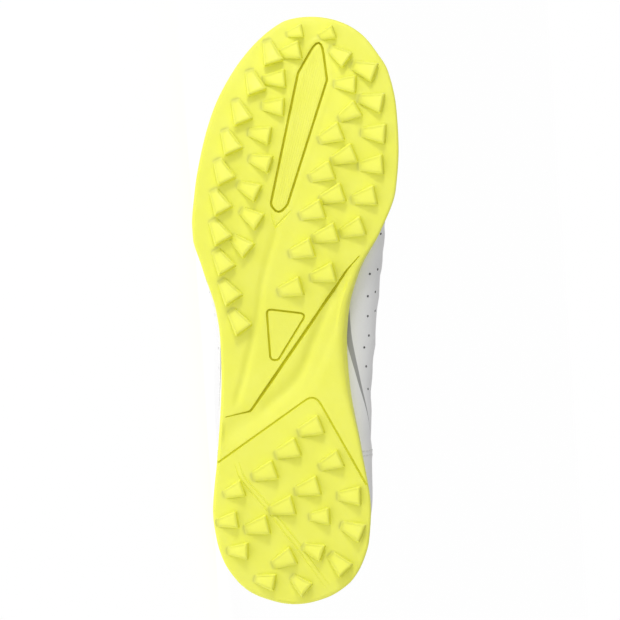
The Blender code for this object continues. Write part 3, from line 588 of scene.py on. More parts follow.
def relief(point):
    """How far the moulding is pressed in, with a minus where it stands out."""
    flat = raised(point, 0.0)
    deep = trough(way_off(flat, SHANK_PATH), 0.0080, 0.0013)
    deep += trough(way_off(flat, CREASE_PATH), 0.0032, 0.0008)
    deep -= trough(way_off(flat, RIDGE_PATH), 0.0034, 0.0004)
    deep += trough(way_off(flat, STRIP_PATH), 0.0028, 0.0009)
    deep -= trough(abs(way_off(flat, WINDOW_PATH, True) - 0.0019), 0.0014, 0.00035)
    return deep


# %% [markdown]
# ### Rings of the plate
# Walking up the side from the underside, the rings turn the lower edge over in a quarter round, step
# in at half height where the mould parts, and end in the rim that holds the upper.

# %% Build the plate
EDGE_ROUND = 0.0014
SIDE_STEP = 0.0007
WAIST_SLOPE = 0.0040
PLATE_STATIONS = 200
PLATE_STRIPS = 62


def even_shares(count):
    return [along_of(math.pi * k / count) for k in range(count + 1)]


def sole_ring(bm, shares, inset, height, slope=0.0):
    places = [(along, -1.0) for along in shares] + [(along, 1.0) for along in shares[-2:0:-1]]
    ring = []
    for along, side in places:
        more = slope * profile("slope", along) if side > 0.0 else 0.0
        point = outline_point(along, side, inset + more)
        ring.append(bm.verts.new(raised(point, height(outline_point(along, side).x))))
    return ring


def close_ring(bm, ring, strips, height):
    """Closes a ring with strips from side to side that keep to the given height."""
    last = len(ring) // 2
    rows = [[ring[0]] * (strips + 1)]
    for k in range(1, last):
        lateral, medial = ring[k], ring[-k]
        row = [lateral]
        for step in range(1, strips):
            point = lateral.co.lerp(medial.co, step / strips)
            row.append(bm.verts.new(raised(point, height(point))))
        rows.append(row + [medial])
    rows.append([ring[last]] * (strips + 1))
    return skin_rows(bm, rows, False)


def outsole_plate():
    bm = bmesh.new()
    shares = even_shares(PLATE_STATIONS)
    middle = SIDE_HEIGHT * 0.5
    rings = []
    for step in range(5):
        angle = math.pi / 2.0 * step / 4
        inset = EDGE_ROUND * (1.0 - math.sin(angle))
        rise = EDGE_ROUND * (1.0 - math.cos(angle))
        slope = WAIST_SLOPE * (1.0 - 0.5 * step / 4)
        rings.append(sole_ring(bm, shares, inset, lambda x, up=rise: underside(x) + up, slope))
    for inset, up in ((0.0, middle - 0.0003), (0.0002, middle + 0.0001), (SIDE_STEP - 0.0001, middle + 0.0006),
                      (SIDE_STEP, middle + 0.0010)):
        rings.append(sole_ring(bm, shares, inset, lambda x, up=up: underside(x) + up))
    for inset, down in ((SIDE_STEP, 0.0006), (SIDE_STEP + 0.0002, 0.0002), (SIDE_STEP + 0.0006, 0.0),
                        (RIM_WALL - 0.0003, 0.0), (RIM_WALL, 0.0003)):
        rings.append(sole_ring(bm, shares, inset, lambda x, down=down: rim_height(x) - down))
    rings.append(sole_ring(bm, shares, RIM_WALL, floor_height))
    skin_rows(bm, rings, True)
    close_ring(bm, rings[0], PLATE_STRIPS, lambda p: underside(p.x) + relief(p))
    close_ring(bm, rings[-1], 1, lambda p: floor_height(p.x))
    return bm


outsole = laid_piece("outsole_moulding", outsole_plate(), (RUBBER, RIBBED_RUBBER, LINE_SHADE_RUBBER))
print("plate:", triangles(outsole), "triangles")

# %% Cut the crisp lines
GROOVE = ((-0.5, 0.0), (-0.41, 0.14), (-0.29, 0.55), (-0.2, 0.88), (-0.08, 1.0), (0.08, 1.0), (0.2, 0.88),
          (0.29, 0.55), (0.41, 0.14), (0.5, 0.0))


def cut_line(name, path, width, depth, closed=False, taper=1.0):
    """Cuts a rounded groove along a path of the underside."""
    bm = bmesh.new()
    rows = []
    count = len(path)
    for k, point in enumerate(path):
        before = path[k - 1] if closed or k else point
        after = path[(k + 1) % count] if closed or k < count - 1 else point
        way = (after - before).normalized()
        beside = Vector((-way.y, way.x, 0.0))
        ends = min(k, count - 1 - k) / (count * 0.25)
        size = 1.0 if closed else min(1.0, taper + (1.0 - taper) * ends)
        base = underside(point.x) + relief(point)
        row = []
        for share, deep in ((-0.5, -1.0), *GROOVE, (0.5, -1.0)):
            place = point + beside * share * width * size
            row.append(bm.verts.new(raised(place, base + depth * size * deep)))
        rows.append(row)
    if closed:
        rows.append(rows[0])
    skin_rows(bm, rows, True)
    if not closed:
        bm.faces.new(rows[0])
        bm.faces.new(rows[-1])
    cutter = laid_piece(name, bm, ())
    choose(outsole)
    cut = outsole.modifiers.new(name, "BOOLEAN")
    cut.operation = "DIFFERENCE"
    cut.object = cutter
    bpy.ops.object.modifier_apply(modifier=name)
    bpy.data.objects.remove(cutter)


cut_line("window_line", WINDOW_PATH, 0.0013, 0.0014, True)
cut_line("pointer_line", divided(to_plan(POINTER)), 0.0015, 0.0007, False, 0.4)
cut_line("triangle_line", TRIANGLE_PATH, 0.0012, 0.0010, True)
cut_line("long_line", LONG_PATH, 0.0018, 0.0016, False, 0.4)
cut_line("heel_line", HEEL_PATH, 0.0012, 0.0010)
RIB_HALF = Vector((0.0007, 0.0009, 0.0))
cut_line("heel_rib_front", [p + RIB_HALF for p in RIB_PATH], 0.0010, 0.0005, False, 0.4)
cut_line("heel_rib_back", [p - RIB_HALF for p in RIB_PATH], 0.0010, 0.0005, False, 0.4)
print("plate with its lines:", triangles(outsole), "triangles")

# %% [markdown]
# ### One lug, then fifty-six
# A lug is a wedge with a long low tail. It starts as a plan with a narrow tail, extruded up to the
# top. One bevel rounds the upright corners and a second one the top's rim. The foot then flares out in
# two steps, and the whole wedge is pressed down towards its tail. Every lug copies this one mesh.

# %% Model the first lug
LUG_EDGE = 0.0112
LUG_REACH = 0.0136
LUG_FOOT = 0.0012
LOW_SHARE = 0.03
TAIL_SHARE = 0.63
TAIL_WIDTH = 0.44
FOOT_CORNERS = ((-LUG_REACH * TAIL_SHARE, -LUG_EDGE * 0.5 * TAIL_WIDTH),
                (-LUG_REACH * TAIL_SHARE, LUG_EDGE * 0.5 * TAIL_WIDTH),
                (LUG_REACH * (1.0 - TAIL_SHARE), LUG_EDGE * 0.5), (LUG_REACH * (1.0 - TAIL_SHARE), -LUG_EDGE * 0.5))


def pick_edges(shape, chosen):
    """Goes into edit mode with just the edges selected whose two ends pass the test."""
    for item in (*shape.data.vertices, *shape.data.polygons):
        item.select = False
    for edge in shape.data.edges:
        edge.select = chosen(*(shape.data.vertices[k].co.z for k in edge.vertices))
    bpy.ops.object.mode_set(mode="EDIT")
    bpy.ops.mesh.select_mode(type="EDGE")


bpy.ops.object.select_all(action="DESELECT")
bpy.ops.mesh.primitive_circle_add(vertices=4, radius=LUG_REACH, fill_type="NGON")
lug = bpy.context.object
for vert, (forward, sideways) in zip(lug.data.vertices, FOOT_CORNERS):
    vert.co = (forward, sideways, -LUG_FOOT)
bpy.ops.object.mode_set(mode="EDIT")
bpy.ops.mesh.select_all(action="SELECT")
bpy.ops.mesh.extrude_region_move(TRANSFORM_OT_translate={"value": (0.0, 0.0, LUG_FOOT - LUG_HEIGHT)})
bpy.ops.transform.resize(value=(0.84, 0.84, 1.0), center_override=(0.0, 0.0, 0.0))
bpy.ops.object.mode_set(mode="OBJECT")
pick_edges(lug, lambda one, other: abs(one - other) > LUG_FOOT)
bpy.ops.mesh.bevel(offset=0.0012, segments=4, affect="EDGES")
bpy.ops.object.mode_set(mode="OBJECT")
pick_edges(lug, lambda one, other: max(one, other) < -LUG_HEIGHT * 0.99)
bpy.ops.mesh.bevel(offset=0.0008, segments=3, affect="EDGES")
bpy.ops.object.mode_set(mode="OBJECT")
pick_edges(lug, lambda one, other: min(one, other) > -LUG_FOOT * 1.01)
bpy.ops.mesh.delete(type="ONLY_FACE")
bpy.ops.object.mode_set(mode="OBJECT")
pick_edges(lug, lambda one, other: min(one, other) > -LUG_FOOT * 1.01)
for spread, rise in ((1.06, 0.0007), (1.10, 0.0004)):
    bpy.ops.mesh.extrude_region_move(TRANSFORM_OT_translate={"value": (0.0, 0.0, rise)})
    bpy.ops.transform.resize(value=(spread, spread, 1.0), center_override=(0.0, 0.0, 0.0))
bpy.ops.object.mode_set(mode="OBJECT")
for vert in lug.data.vertices:
    climb_share = min(1.0, max(0.0, (vert.co.x / LUG_REACH + 0.56) / 0.72))
    vert.co.z *= LOW_SHARE + (1.0 - LOW_SHARE) * climb_share
# Painted shade: the steep front face of the wedge gets the darker rubber in slot 1.
for face in lug.data.polygons:
    face.material_index = 1 if face.normal.x > 0.55 and face.center.z < -LUG_FOOT else 0
first_lug = lug.data
print("first lug:", len(first_lug.polygons), "faces")

# %% Set the lugs in their files
LUG_FILES = table(
    "count size along_start along_end across_start across_middle across_end stagger turn_start turn_end",
    (2, 0.68, 0.973, 0.970, 0.008, 0.086, 0.164, 0.000, -12, -20),
    (10, 1.00, 0.934, 0.478, -0.116, -0.360, -0.272, 0.000, 72, 55),
    (8, 0.92, 0.940, 0.609, -0.030, -0.160, -0.240, 0.016, -12, 40),
    (5, 1.00, 0.798, 0.537, 0.186, 0.095, -0.010, 0.000, -22, -16),
    (3, 0.90, 0.932, 0.836, 0.225, 0.258, 0.275, 0.000, 35, -30),
    (4, 1.00, 0.762, 0.561, 0.250, 0.175, 0.150, 0.000, -22, -14),
    (6, 1.00, 0.908, 0.638, 0.350, 0.395, 0.292, 0.000, 20, -20),
    (3, 1.00, 0.301, 0.225, 0.088, -0.025, -0.137, 0.000, -22, -20),
    (4, 0.95, 0.243, 0.068, 0.186, 0.295, 0.222, 0.000, -24, 45),
    (3, 1.00, 0.199, 0.133, 0.074, -0.049, -0.172, 0.000, -16, -14),
    (3, 0.85, 0.150, 0.033, 0.132, 0.100, 0.032, 0.000, -3, 40),
    (4, 0.85, 0.194, 0.040, -0.288, -0.302, -0.135, 0.000, -20, 10),
    (1, 0.95, 0.078, 0.078, -0.044, -0.044, -0.044, 0.000, -26, -26),
)


def lug_places():
    """Plan point, turn and size of every lug."""
    names = list(LUG_FILES)
    for values in zip(*(LUG_FILES[name] for name in names)):
        row = dict(zip(names, values))
        for k in range(row["count"]):
            t = k / max(1, row["count"] - 1)
            along = row["along_start"] + (row["along_end"] - row["along_start"]) * t
            across = ((1 - t) * (1 - 2 * t) * row["across_start"] + 4 * t * (1 - t) * row["across_middle"]
                      + t * (2 * t - 1) * row["across_end"] + row["stagger"] * (-1) ** k)
            turn = row["turn_start"] + (row["turn_end"] - row["turn_start"]) * t
            yield Vector((along * LENGTH, across * BALL_WIDTH, 0.0)), math.radians(turn), row["size"]


lugs_bm = bmesh.new()
for place, turn, size in lug_places():
    known = set(lugs_bm.verts)
    lugs_bm.from_mesh(first_lug)
    spin = Matrix.Translation(place) @ Matrix.Rotation(turn + math.pi / 2.0, 4, "Z")
    for vert in lugs_bm.verts:
        if vert not in known:
            plan = spin @ Vector((vert.co.x * size, vert.co.y * size, 0.0))
            vert.co = raised(plan, vert.co.z + underside(plan.x) + 0.0001)
lug_count = len(list(lug_places()))
bpy.data.objects.remove(lug)
lugs = laid_piece("lugs", lugs_bm, (RUBBER, STEEP_SHADE_RUBBER))
choose(lugs)
outsole.select_set(True)
bpy.context.view_layer.objects.active = outsole
bpy.ops.object.join()
smooth(outsole, 38.0)
print("lugs:", lug_count, "- outsole:", triangles(outsole), "triangles")


# %% Give the window its ribs and the sole its plan map
def inside(point, path):
    odd = False
    for a, b in zip(path, path[1:] + path[:1]):
        if (a.y > point.y) != (b.y > point.y) and point.x < (b.x - a.x) * (point.y - a.y) / (b.y - a.y) + a.x:
            odd = not odd
    return odd


# The crisp lines whose bottom faces get painted shade.
LINES = ((WINDOW_PATH, True, 0.0013), (TRIANGLE_PATH, True, 0.0012), (LONG_PATH, False, 0.0018),
         (HEEL_PATH, False, 0.0012))


def in_line(centre):
    """Whether a face lies down in one of the crisp lines."""
    down = centre.z - underside(centre.x) - relief(raised(centre, 0.0))
    if not 0.0003 < down < 0.0020:
        return False
    flat = raised(centre, 0.0)
    return any(way_off(flat, path, closed) < width * 0.5 for path, closed, width in LINES)


upright = LAID.inverted()
plan_map = outsole.data.uv_layers.active or outsole.data.uv_layers.new(name="plan")
ribbed = 0
for face in outsole.data.polygons:
    centre = upright @ face.center
    near_floor_of_sole = centre.z < underside(max(0.0, min(LENGTH, centre.x))) + 0.0003
    if near_floor_of_sole and inside(centre, WINDOW_PATH) and way_off(raised(centre, 0.0), WINDOW_PATH, True) > 0.0009:
        face.material_index = 1
        ribbed += 1
    elif 0.0 < centre.x < LENGTH and in_line(centre):
        # Painted shade in the bottoms of the lines: the heel line takes the lighter steep-face shade, the others the
        # deeper line shade.
        face.material_index = 3 if way_off(raised(centre, 0.0), HEEL_PATH) < 0.0012 else 2
    for loop in face.loop_indices:
        local = upright @ outsole.data.vertices[outsole.data.loops[loop].vertex_index].co
        plan_map.data[loop].uv = (local.x, local.y)
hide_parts("outsole")
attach(outsole, "root")
print("ribbed faces in the window:", ribbed)

# %% [markdown]
# ## The upper
# The upper is a shell on the last: it rises from inside the rim, is widest at a third of the instep
# height, and closes over the toe or stands up to the collar. The same sections as in the imported model
# are read at many more places, so the skin is smooth, and the overlays rise in soft steps with
# stitches along them. Creases are pressed in where a foot bends the shoe.

# %% Sections of the upper
FOOT_INSET = RIM_WALL + CLEARANCE
THROAT_FRONT = 0.660
FRONT_REACH = 0.0100
EYESTAY_BACK = 0.400
EYESTAY_WIDTH = 0.0150
COUNTER_FRONT = 0.235
COUNTER_TOP = 0.445
TOE_CAP_BACK = 0.850
COLLAR_PAD = 0.0035
COLLAR_PAD_FRONT = 0.430


@functools.lru_cache(maxsize=None)
def section_marks(along, side):
    """Rim, widest and top points of the section at a share of the length, and how round it is."""
    foot_plan = outline_point(along, side, FOOT_INSET)
    name = "bulge_medial" if side > 0.0 else "bulge_lateral"
    wide_plan = outline_point(along, side, -read(SECTIONS, name, along) * BALL_WIDTH)
    edge_x = outline_point(along, side).x
    foot = raised(foot_plan, floor_height(edge_x) + CLEARANCE)
    rim = raised(foot_plan, rim_height(edge_x) + 0.0006)
    wide = raised(wide_plan, read(SECTIONS, "waist", along) * INSTEP_HEIGHT)
    crest = read(SECTIONS, "crest", along) * BALL_WIDTH
    gap = throat_gap(along)
    height = read(SECTIONS, "heel", along) * HEEL_HEIGHT + read(SECTIONS, "instep", along) * INSTEP_HEIGHT
    top = Vector((read(SECTIONS, "top", along) * LENGTH, crest + side * gap, height))
    return foot, rim, wide, top, read(SECTIONS, "round", along)


@functools.lru_cache(maxsize=None)
def throat_gap(along):
    return read(SECTIONS, "gap", along) * BALL_WIDTH if along < THROAT_FRONT else 0.0


def wall_point(along, side, share):
    """Point above the widest place: share 0 there and 1 at the top edge, and below 0 down to the rim."""
    foot, rim, wide, top, bend = section_marks(along, side)
    if share < 0.0:
        angle = (1.0 + share) * math.pi / 2.0
        plan = rim.lerp(wide, math.sin(angle))
        return raised(plan, rim.z + (wide.z - rim.z) * (1.0 - math.cos(angle)))
    angle = share * math.pi / 2.0
    inward = (1.0 - bend) * share**2 + bend * (1.0 - math.cos(angle))
    upward = (1.0 - bend) * share + bend * math.sin(angle)
    return Vector((wide.x + (top.x - wide.x) * inward, wide.y + (top.y - wide.y) * inward,
                   wide.z + (top.z - wide.z) * upward))


@functools.lru_cache(maxsize=None)
def wall_length(along, side, low=0.0):
    steps = 24
    points = [wall_point(along, side, low + (1.0 - low) * k / steps) for k in range(steps + 1)]
    return sum((b - a).length for a, b in zip(points, points[1:]))


def share_from_edge(along, side, distance):
    return max(0.0, 1.0 - distance / wall_length(along, side))


def wall_surface(along, side, share, out=0.0):
    """Point of the wall moved out square to it, with a minus inwards."""
    step = 0.004
    low, high = max(-1.0, share - step), min(1.0, share + step)
    up = wall_point(along, side, high) - wall_point(along, side, low)
    ahead = wall_point(along + step, side, share) - wall_point(along - step, side, share)
    square = up.cross(ahead).normalized() * side
    return wall_point(along, side, share) + square * out


# %% [markdown]
# ### Where panels, creases and print lie
# A panel's edge is a curve over the wall: the toe cap's edge bows forward over the toe, the counter
# falls towards the waist, and the eyestay follows the throat. Each curve is written as a signed
# distance in metres, and the same distance drives the step in the wall and the rows of stitches.

# %% Distances to the panels' edges
def toe_cap_distance(along, share):
    """How far a place lies in front of the toe cap's edge, which bows forward at the crest."""
    return (along - TOE_CAP_BACK - 0.018 * math.sin(max(0.0, share) * math.pi / 2.0) ** 2) * LENGTH


def counter_distance(along, side, share):
    """How far a place lies inside the heel counter, which slopes down towards its front."""
    front = (COUNTER_FRONT + 0.03 - 0.05 * max(0.0, share) - along) * LENGTH
    slope = COUNTER_TOP + 0.10 - 0.50 * along
    top = (slope - share) * wall_length(along, side)
    blend = 0.006
    nearer = min(front, top)
    return nearer - blend * 0.25 * max(0.0, 1.0 - abs(front - top) / blend) ** 2


def stay_distance(along, side, share):
    """How far a place lies inside the eyestay round the throat."""
    below = EYESTAY_WIDTH - (1.0 - share) * wall_length(along, side)
    back = (along - EYESTAY_BACK - 0.012) * LENGTH
    blend = 0.006
    nearer = min(below, back)
    nearer -= blend * 0.25 * max(0.0, 1.0 - abs(below - back) / blend) ** 2
    if along > THROAT_FRONT:
        aside = (1.0 - share) * wall_length(along, side) - throat_gap(THROAT_FRONT - 0.001)
        ahead = (along - THROAT_FRONT) * LENGTH
        nearer = EYESTAY_WIDTH * (1.0 - math.hypot(ahead / FRONT_REACH, max(0.0, aside) / EYESTAY_WIDTH))
    return nearer


CREASES = table(
    "along side low high width depth lean",
    (0.745, 0, 0.10, 0.95, 0.0050, 0.00055, 0.02),
    (0.715, 0, 0.05, 0.85, 0.0045, 0.00050, 0.03),
    (0.775, 0, 0.20, 0.80, 0.0040, 0.00035, 0.01),
    (0.640, 1, -0.60, 0.35, 0.0050, 0.00040, 0.04),
    (0.600, 1, -0.75, 0.20, 0.0045, 0.00045, 0.05),
    (0.560, 1, -0.50, 0.30, 0.0060, 0.00030, 0.05),
    (0.420, 1, -0.60, 0.30, 0.0055, 0.00035, -0.04),
    (0.350, 1, -0.40, 0.40, 0.0050, 0.00030, -0.05),
    (0.620, -1, -0.50, 0.30, 0.0050, 0.00040, 0.04),
    (0.540, -1, -0.40, 0.40, 0.0055, 0.00030, 0.05),
    (0.300, -1, -0.30, 0.50, 0.0050, 0.00030, -0.05),
)
CREASE_ROWS = [dict(zip(CREASES, values)) for values in zip(*CREASES.values())]


def creased(along, side, share):
    """Soft troughs with a low ridge on each side, at listed places."""
    depth = 0.0
    for row in CREASE_ROWS:
        if row["side"] and row["side"] != side:
            continue
        middle = (row["low"] + row["high"]) / 2.0
        reach = (row["high"] - row["low"]) / 2.0
        end = 1.0 - fade(abs(share - middle), reach * 0.35, reach)
        off = (along - row["along"] - row["lean"] * (share - middle)) * LENGTH / row["width"]
        if abs(off) < 2.2 and end > 0.0:
            depth += row["depth"] * end * math.cos(off * math.pi / 2.0) * (1.0 - fade(abs(off), 1.0, 2.2))
    return depth


def climb(along, side, share):
    """Length of the wall from the rim up to a share, or far off above the widest place."""
    if share > 0.5:
        return 1.0
    steps = 6
    points = [wall_point(along, side, -1.0 + (share + 1.0) * k / steps) for k in range(steps + 1)]
    return sum((b - a).length for a, b in zip(points, points[1:]))


# %% [markdown]
# ### The shell
# The outer skin comes first. Its own normals then give the inner skin, a wall's thickness behind it
# and further in where the collar is padded, and the overlays and creases move the outer skin alone. A
# small arc closes the wall along the collar and the throat, as a turned and sewn edge does.

# %% Build the shell
UPPER_STATIONS = 128


def upper_shares():
    even = even_shares(UPPER_STATIONS)
    marks = [THROAT_FRONT - 0.006, THROAT_FRONT - 0.003, THROAT_FRONT]
    return sorted(marks + [v for v in even if min(abs(v - m) for m in marks) > 0.0025])


LOW_LINES = [-1.0 + k / 12 for k in range(12)]
HIGH_STEPS = 40


def wall_lines(along, side):
    """Shares from the rim to the top edge, closer together near the edge of the eyestay."""
    stay = max(0.70, share_from_edge(along, side, EYESTAY_WIDTH + 0.001))
    low = [stay * k / 22 for k in range(22)]
    high = [stay + (1.0 - stay) * k / (HIGH_STEPS - 22) for k in range(HIGH_STEPS - 21)]
    return LOW_LINES + low + high


def pad_share(along, share):
    round_collar = 1.0 - fade(along, COLLAR_PAD_FRONT - 0.08, COLLAR_PAD_FRONT)
    up_wall = fade(share, 0.42, 0.75) * (1.0 - 0.55 * fade(share, 0.93, 1.0))
    return round_collar * up_wall


def overlay(along, side, share):
    soft = 0.0005
    reach = max(toe_cap_distance(along, share), counter_distance(along, side, share),
                stay_distance(along, side, share))
    return OVERLAY_STEP * fade(reach, -soft, soft)


def upper_shell():
    shares = upper_shares()
    last = len(shares) - 1
    top_line = len(wall_lines(0.5, 1.0))
    bm = bmesh.new()
    uv = bm.loops.layers.uv.new("cloth")
    printed = bm.loops.layers.uv.new("print")
    outer, facts = {}, {}

    def key(side, i, j):
        shared = i in (0, last) or (j == top_line and shares[i] >= THROAT_FRONT)
        return (0.0 if shared else side, i, j)

    for side in (-1.0, 1.0):
        for i, along in enumerate(shares):
            lines = wall_lines(along, side)
            for j in range(top_line + 1):
                name = key(side, i, j)
                if name in outer:
                    continue
                if j == 0:
                    point, share = section_marks(along, side)[0], -1.0
                else:
                    share = lines[j - 1]
                    point = wall_point(along, side, share)
                outer[name] = bm.verts.new(point)
                facts[name] = (along, side, share)
    quads = []
    for side in (-1.0, 1.0):
        for i in range(last):
            for j in range(top_line):
                ring = [key(side, i, j), key(side, i, j + 1), key(side, i + 1, j + 1), key(side, i + 1, j)]
                quads.append(ring if side > 0.0 else ring[::-1])
    for ring in quads:
        bm.faces.new([outer[name] for name in ring])
    toe_top = [outer[name] for name, (along, side, share) in facts.items() if along > 0.86 and share > 0.80]
    for _ in range(8):
        bmesh.ops.smooth_vert(bm, verts=toe_top, factor=0.5, use_axis_x=True, use_axis_y=True, use_axis_z=True)
    bm.normal_update()
    inner = {}
    for name, vert in outer.items():
        along, side, share = facts[name]
        thick = UPPER_WALL + COLLAR_PAD * pad_share(along, share)
        inner[name] = vert.co - vert.normal * thick
    for name, vert in outer.items():
        along, side, share = facts[name]
        if name[2] > 0:
            vert.co += vert.normal * (overlay(along, side, share) - creased(along, side, share))
    inner = {name: bm.verts.new(point) for name, point in inner.items()}
    lining = [bm.faces.new([inner[name] for name in reversed(ring)]) for ring in quads]
    below = {name: outer[(name[0], name[1], name[2] - 1)] for name in outer
             if name[2] == top_line and (name[0], name[1], name[2] - 1) in outer}
    names_of = {vert: name for name, vert in outer.items()}
    lips = {}

    def lip(name):
        """Row of corners from the outer skin over the sewn edge to the inner skin."""
        if name not in lips:
            start, end = outer[name].co, inner[name].co
            middle, half = (start + end) / 2.0, (start - end) / 2.0
            rise = Vector()
            if name in below:
                rise = (start - below[name].co).normalized() * min(half.length, 0.0010)
            turns = (math.pi / 4.0, math.pi / 2.0, math.pi * 0.75)
            arc = [bm.verts.new(middle + half * math.cos(t) + rise * math.sin(t)) for t in turns]
            lips[name] = [outer[name], *arc, inner[name]]
        return lips[name]

    for edge in [e for e in bm.edges if e.is_boundary and e.verts[0] in names_of and e.verts[1] in names_of]:
        a, b = (names_of[vert] for vert in edge.verts)
        row, next_row = lip(a), lip(b)
        for k in range(4):
            bm.faces.new((row[k], next_row[k], next_row[k + 1], row[k + 1]))
    for face in lining:
        face.material_index = 1
    spots = {vert: facts[name] for group in (outer, inner) for name, vert in group.items()}
    spots.update({vert: facts[name] for name, row in lips.items() for vert in row})
    climbs = {vert: climb(*facts[name]) for name, vert in outer.items()}
    for face in bm.faces:
        for loop in face.loops:
            along, side, share = spots[loop.vert]
            loop[uv].uv = (along * LENGTH * 1.6, share * 0.07)
            loop[printed].uv = (along * LENGTH, climbs.get(loop.vert, 1.0))
    return bm


upper = laid_piece("upper_shell", upper_shell(), (SYNTHETIC, LINING))
print("upper:", triangles(upper), "triangles")

# %% Punch the lace holes
EYELET_PAIRS = 6
FIRST_EYELET = 0.632
LAST_EYELET = 0.462
HOLE_RADIUS = 0.0021
HOLE_FROM_EDGE = 0.0070


def eyelet_places():
    step = (LAST_EYELET - FIRST_EYELET) / (EYELET_PAIRS - 1)
    return [FIRST_EYELET + step * k for k in range(EYELET_PAIRS)]


bpy.ops.object.select_all(action="DESELECT")
punches = []
for along in eyelet_places():
    for side in (-1.0, 1.0):
        share = share_from_edge(along, side, HOLE_FROM_EDGE)
        centre = LAID @ wall_surface(along, side, share)
        way = (LAID @ wall_surface(along, side, share, 0.001) - centre).to_track_quat("Z", "Y")
        bpy.ops.mesh.primitive_cylinder_add(vertices=20, radius=HOLE_RADIUS, depth=0.010, location=centre,
                                            rotation=way.to_euler())
        punches.append(bpy.context.object)
bpy.ops.object.select_all(action="DESELECT")
for punch in punches:
    punch.select_set(True)
bpy.context.view_layer.objects.active = punches[0]
bpy.ops.object.join()
punch = bpy.context.object
choose(upper)
cut = upper.modifiers.new("lace_holes", "BOOLEAN")
cut.operation = "DIFFERENCE"
cut.object = punch
bpy.ops.object.modifier_apply(modifier="lace_holes")
bpy.data.objects.remove(punch)
smooth(upper, 50.0)
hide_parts("upper")
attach(upper, "root")
print("upper with its holes:", triangles(upper), "triangles")

# %% [markdown]
# ## The insole
# The insole is a thin foam sock with brushed cloth on top. It lies loose on the floor of the sole and
# turns up a little along its edge, more in the heel, where it cups the foot.

# %% Build the insole
def insole_mesh():
    bm = bmesh.new()
    shares = even_shares(72)
    inset = FOOT_INSET + UPPER_WALL + CLEARANCE
    uv = bm.loops.layers.uv.new("cloth")

    def top_height(x):
        return floor_height(x) + CLEARANCE + 0.0035 + 0.0020 * profile("heel", x / LENGTH)

    def dished(point):
        along = point.x / LENGTH
        lateral, medial = outline_point(along, -1.0).y, outline_point(along, 1.0).y
        aside = min(point.y - lateral, medial - point.y)
        return top_height(point.x) - 0.0009 * fade(aside, inset + 0.001, inset + 0.014)

    low = sole_ring(bm, shares, inset, lambda x: floor_height(x) + CLEARANCE)
    high = sole_ring(bm, shares, inset, lambda x: top_height(x) - 0.0006)
    edge = sole_ring(bm, shares, inset + 0.0006, top_height)
    skin_rows(bm, [low, high, edge], True)
    close_ring(bm, low, 1, lambda p: floor_height(p.x) + CLEARANCE)
    close_ring(bm, edge, 22, dished)
    for face in bm.faces:
        for loop in face.loops:
            loop[uv].uv = (loop.vert.co.x, loop.vert.co.y)
    return bm


insole = laid_piece("insole_sock", insole_mesh(), (INSOLE_CLOTH,))
smooth(insole, 40.0)
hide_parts("insole")
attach(insole, "root")
print("insole:", triangles(insole), "triangles")

# %% [markdown]
# ## The tongue
# The tongue is a strip of padded mesh under the laces. It is thick in the middle and thin at its
# sewn edges, and it stands up past the top eyelets with a rounded end. Shallow channels are quilted
# across it so that the foam bends with the foot.

# %% Points over the instep
def instep_point(along, across, out):
    """Point over the instep at a distance from its middle line, out from the upper's outer face."""
    side = 1.0 if across >= 0.0 else -1.0
    gap = throat_gap(along)
    if abs(across) >= gap:
        return wall_surface(along, side, share_from_edge(along, side, abs(across) - gap), out)
    medial = wall_surface(along, 1.0, 0.999, out)
    lateral = wall_surface(along, -1.0, 0.999, out)
    t = across / gap
    crown = 0.22 * gap * (1.0 - t * t)
    return lateral.lerp(medial, (t + 1.0) / 2.0) + Vector((0.0, 0.0, crown))


# %% Build the tongue
TONGUE_HALF_WIDTH = 0.0260
TONGUE_THICKNESS = 0.0060
TONGUE_EDGE = 0.0022
TONGUE_RISE = 0.0320
TONGUE_SEAT = 0.0012
TONGUE_FRONT = 0.700
TONGUE_TOP = 0.450
TONGUE_ACROSS = 24


def tongue_section(along):
    """Upper and lower points of the tongue across the instep."""
    depth = UPPER_WALL + TONGUE_SEAT
    shares = [-math.cos(math.pi * k / TONGUE_ACROSS) for k in range(TONGUE_ACROSS + 1)]
    width = TONGUE_HALF_WIDTH * (0.72 + 0.28 * fade(TONGUE_FRONT - along, 0.0, 0.15))
    width *= 1.0 - 0.38 * fade(TONGUE_TOP + 0.06 - along, 0.0, 0.06)
    top = [instep_point(along, share * width, -depth) for share in shares]
    middle = instep_point(along, 0.0, -depth)
    low = []
    for share, point in zip(shares, top):
        thick = TONGUE_EDGE + (TONGUE_THICKNESS - TONGUE_EDGE) * (1.0 - share * share)
        inward = Vector((middle.x, middle.y, middle.z - TONGUE_HALF_WIDTH)) - point
        low.append(point + inward.normalized() * thick)
    return top, low


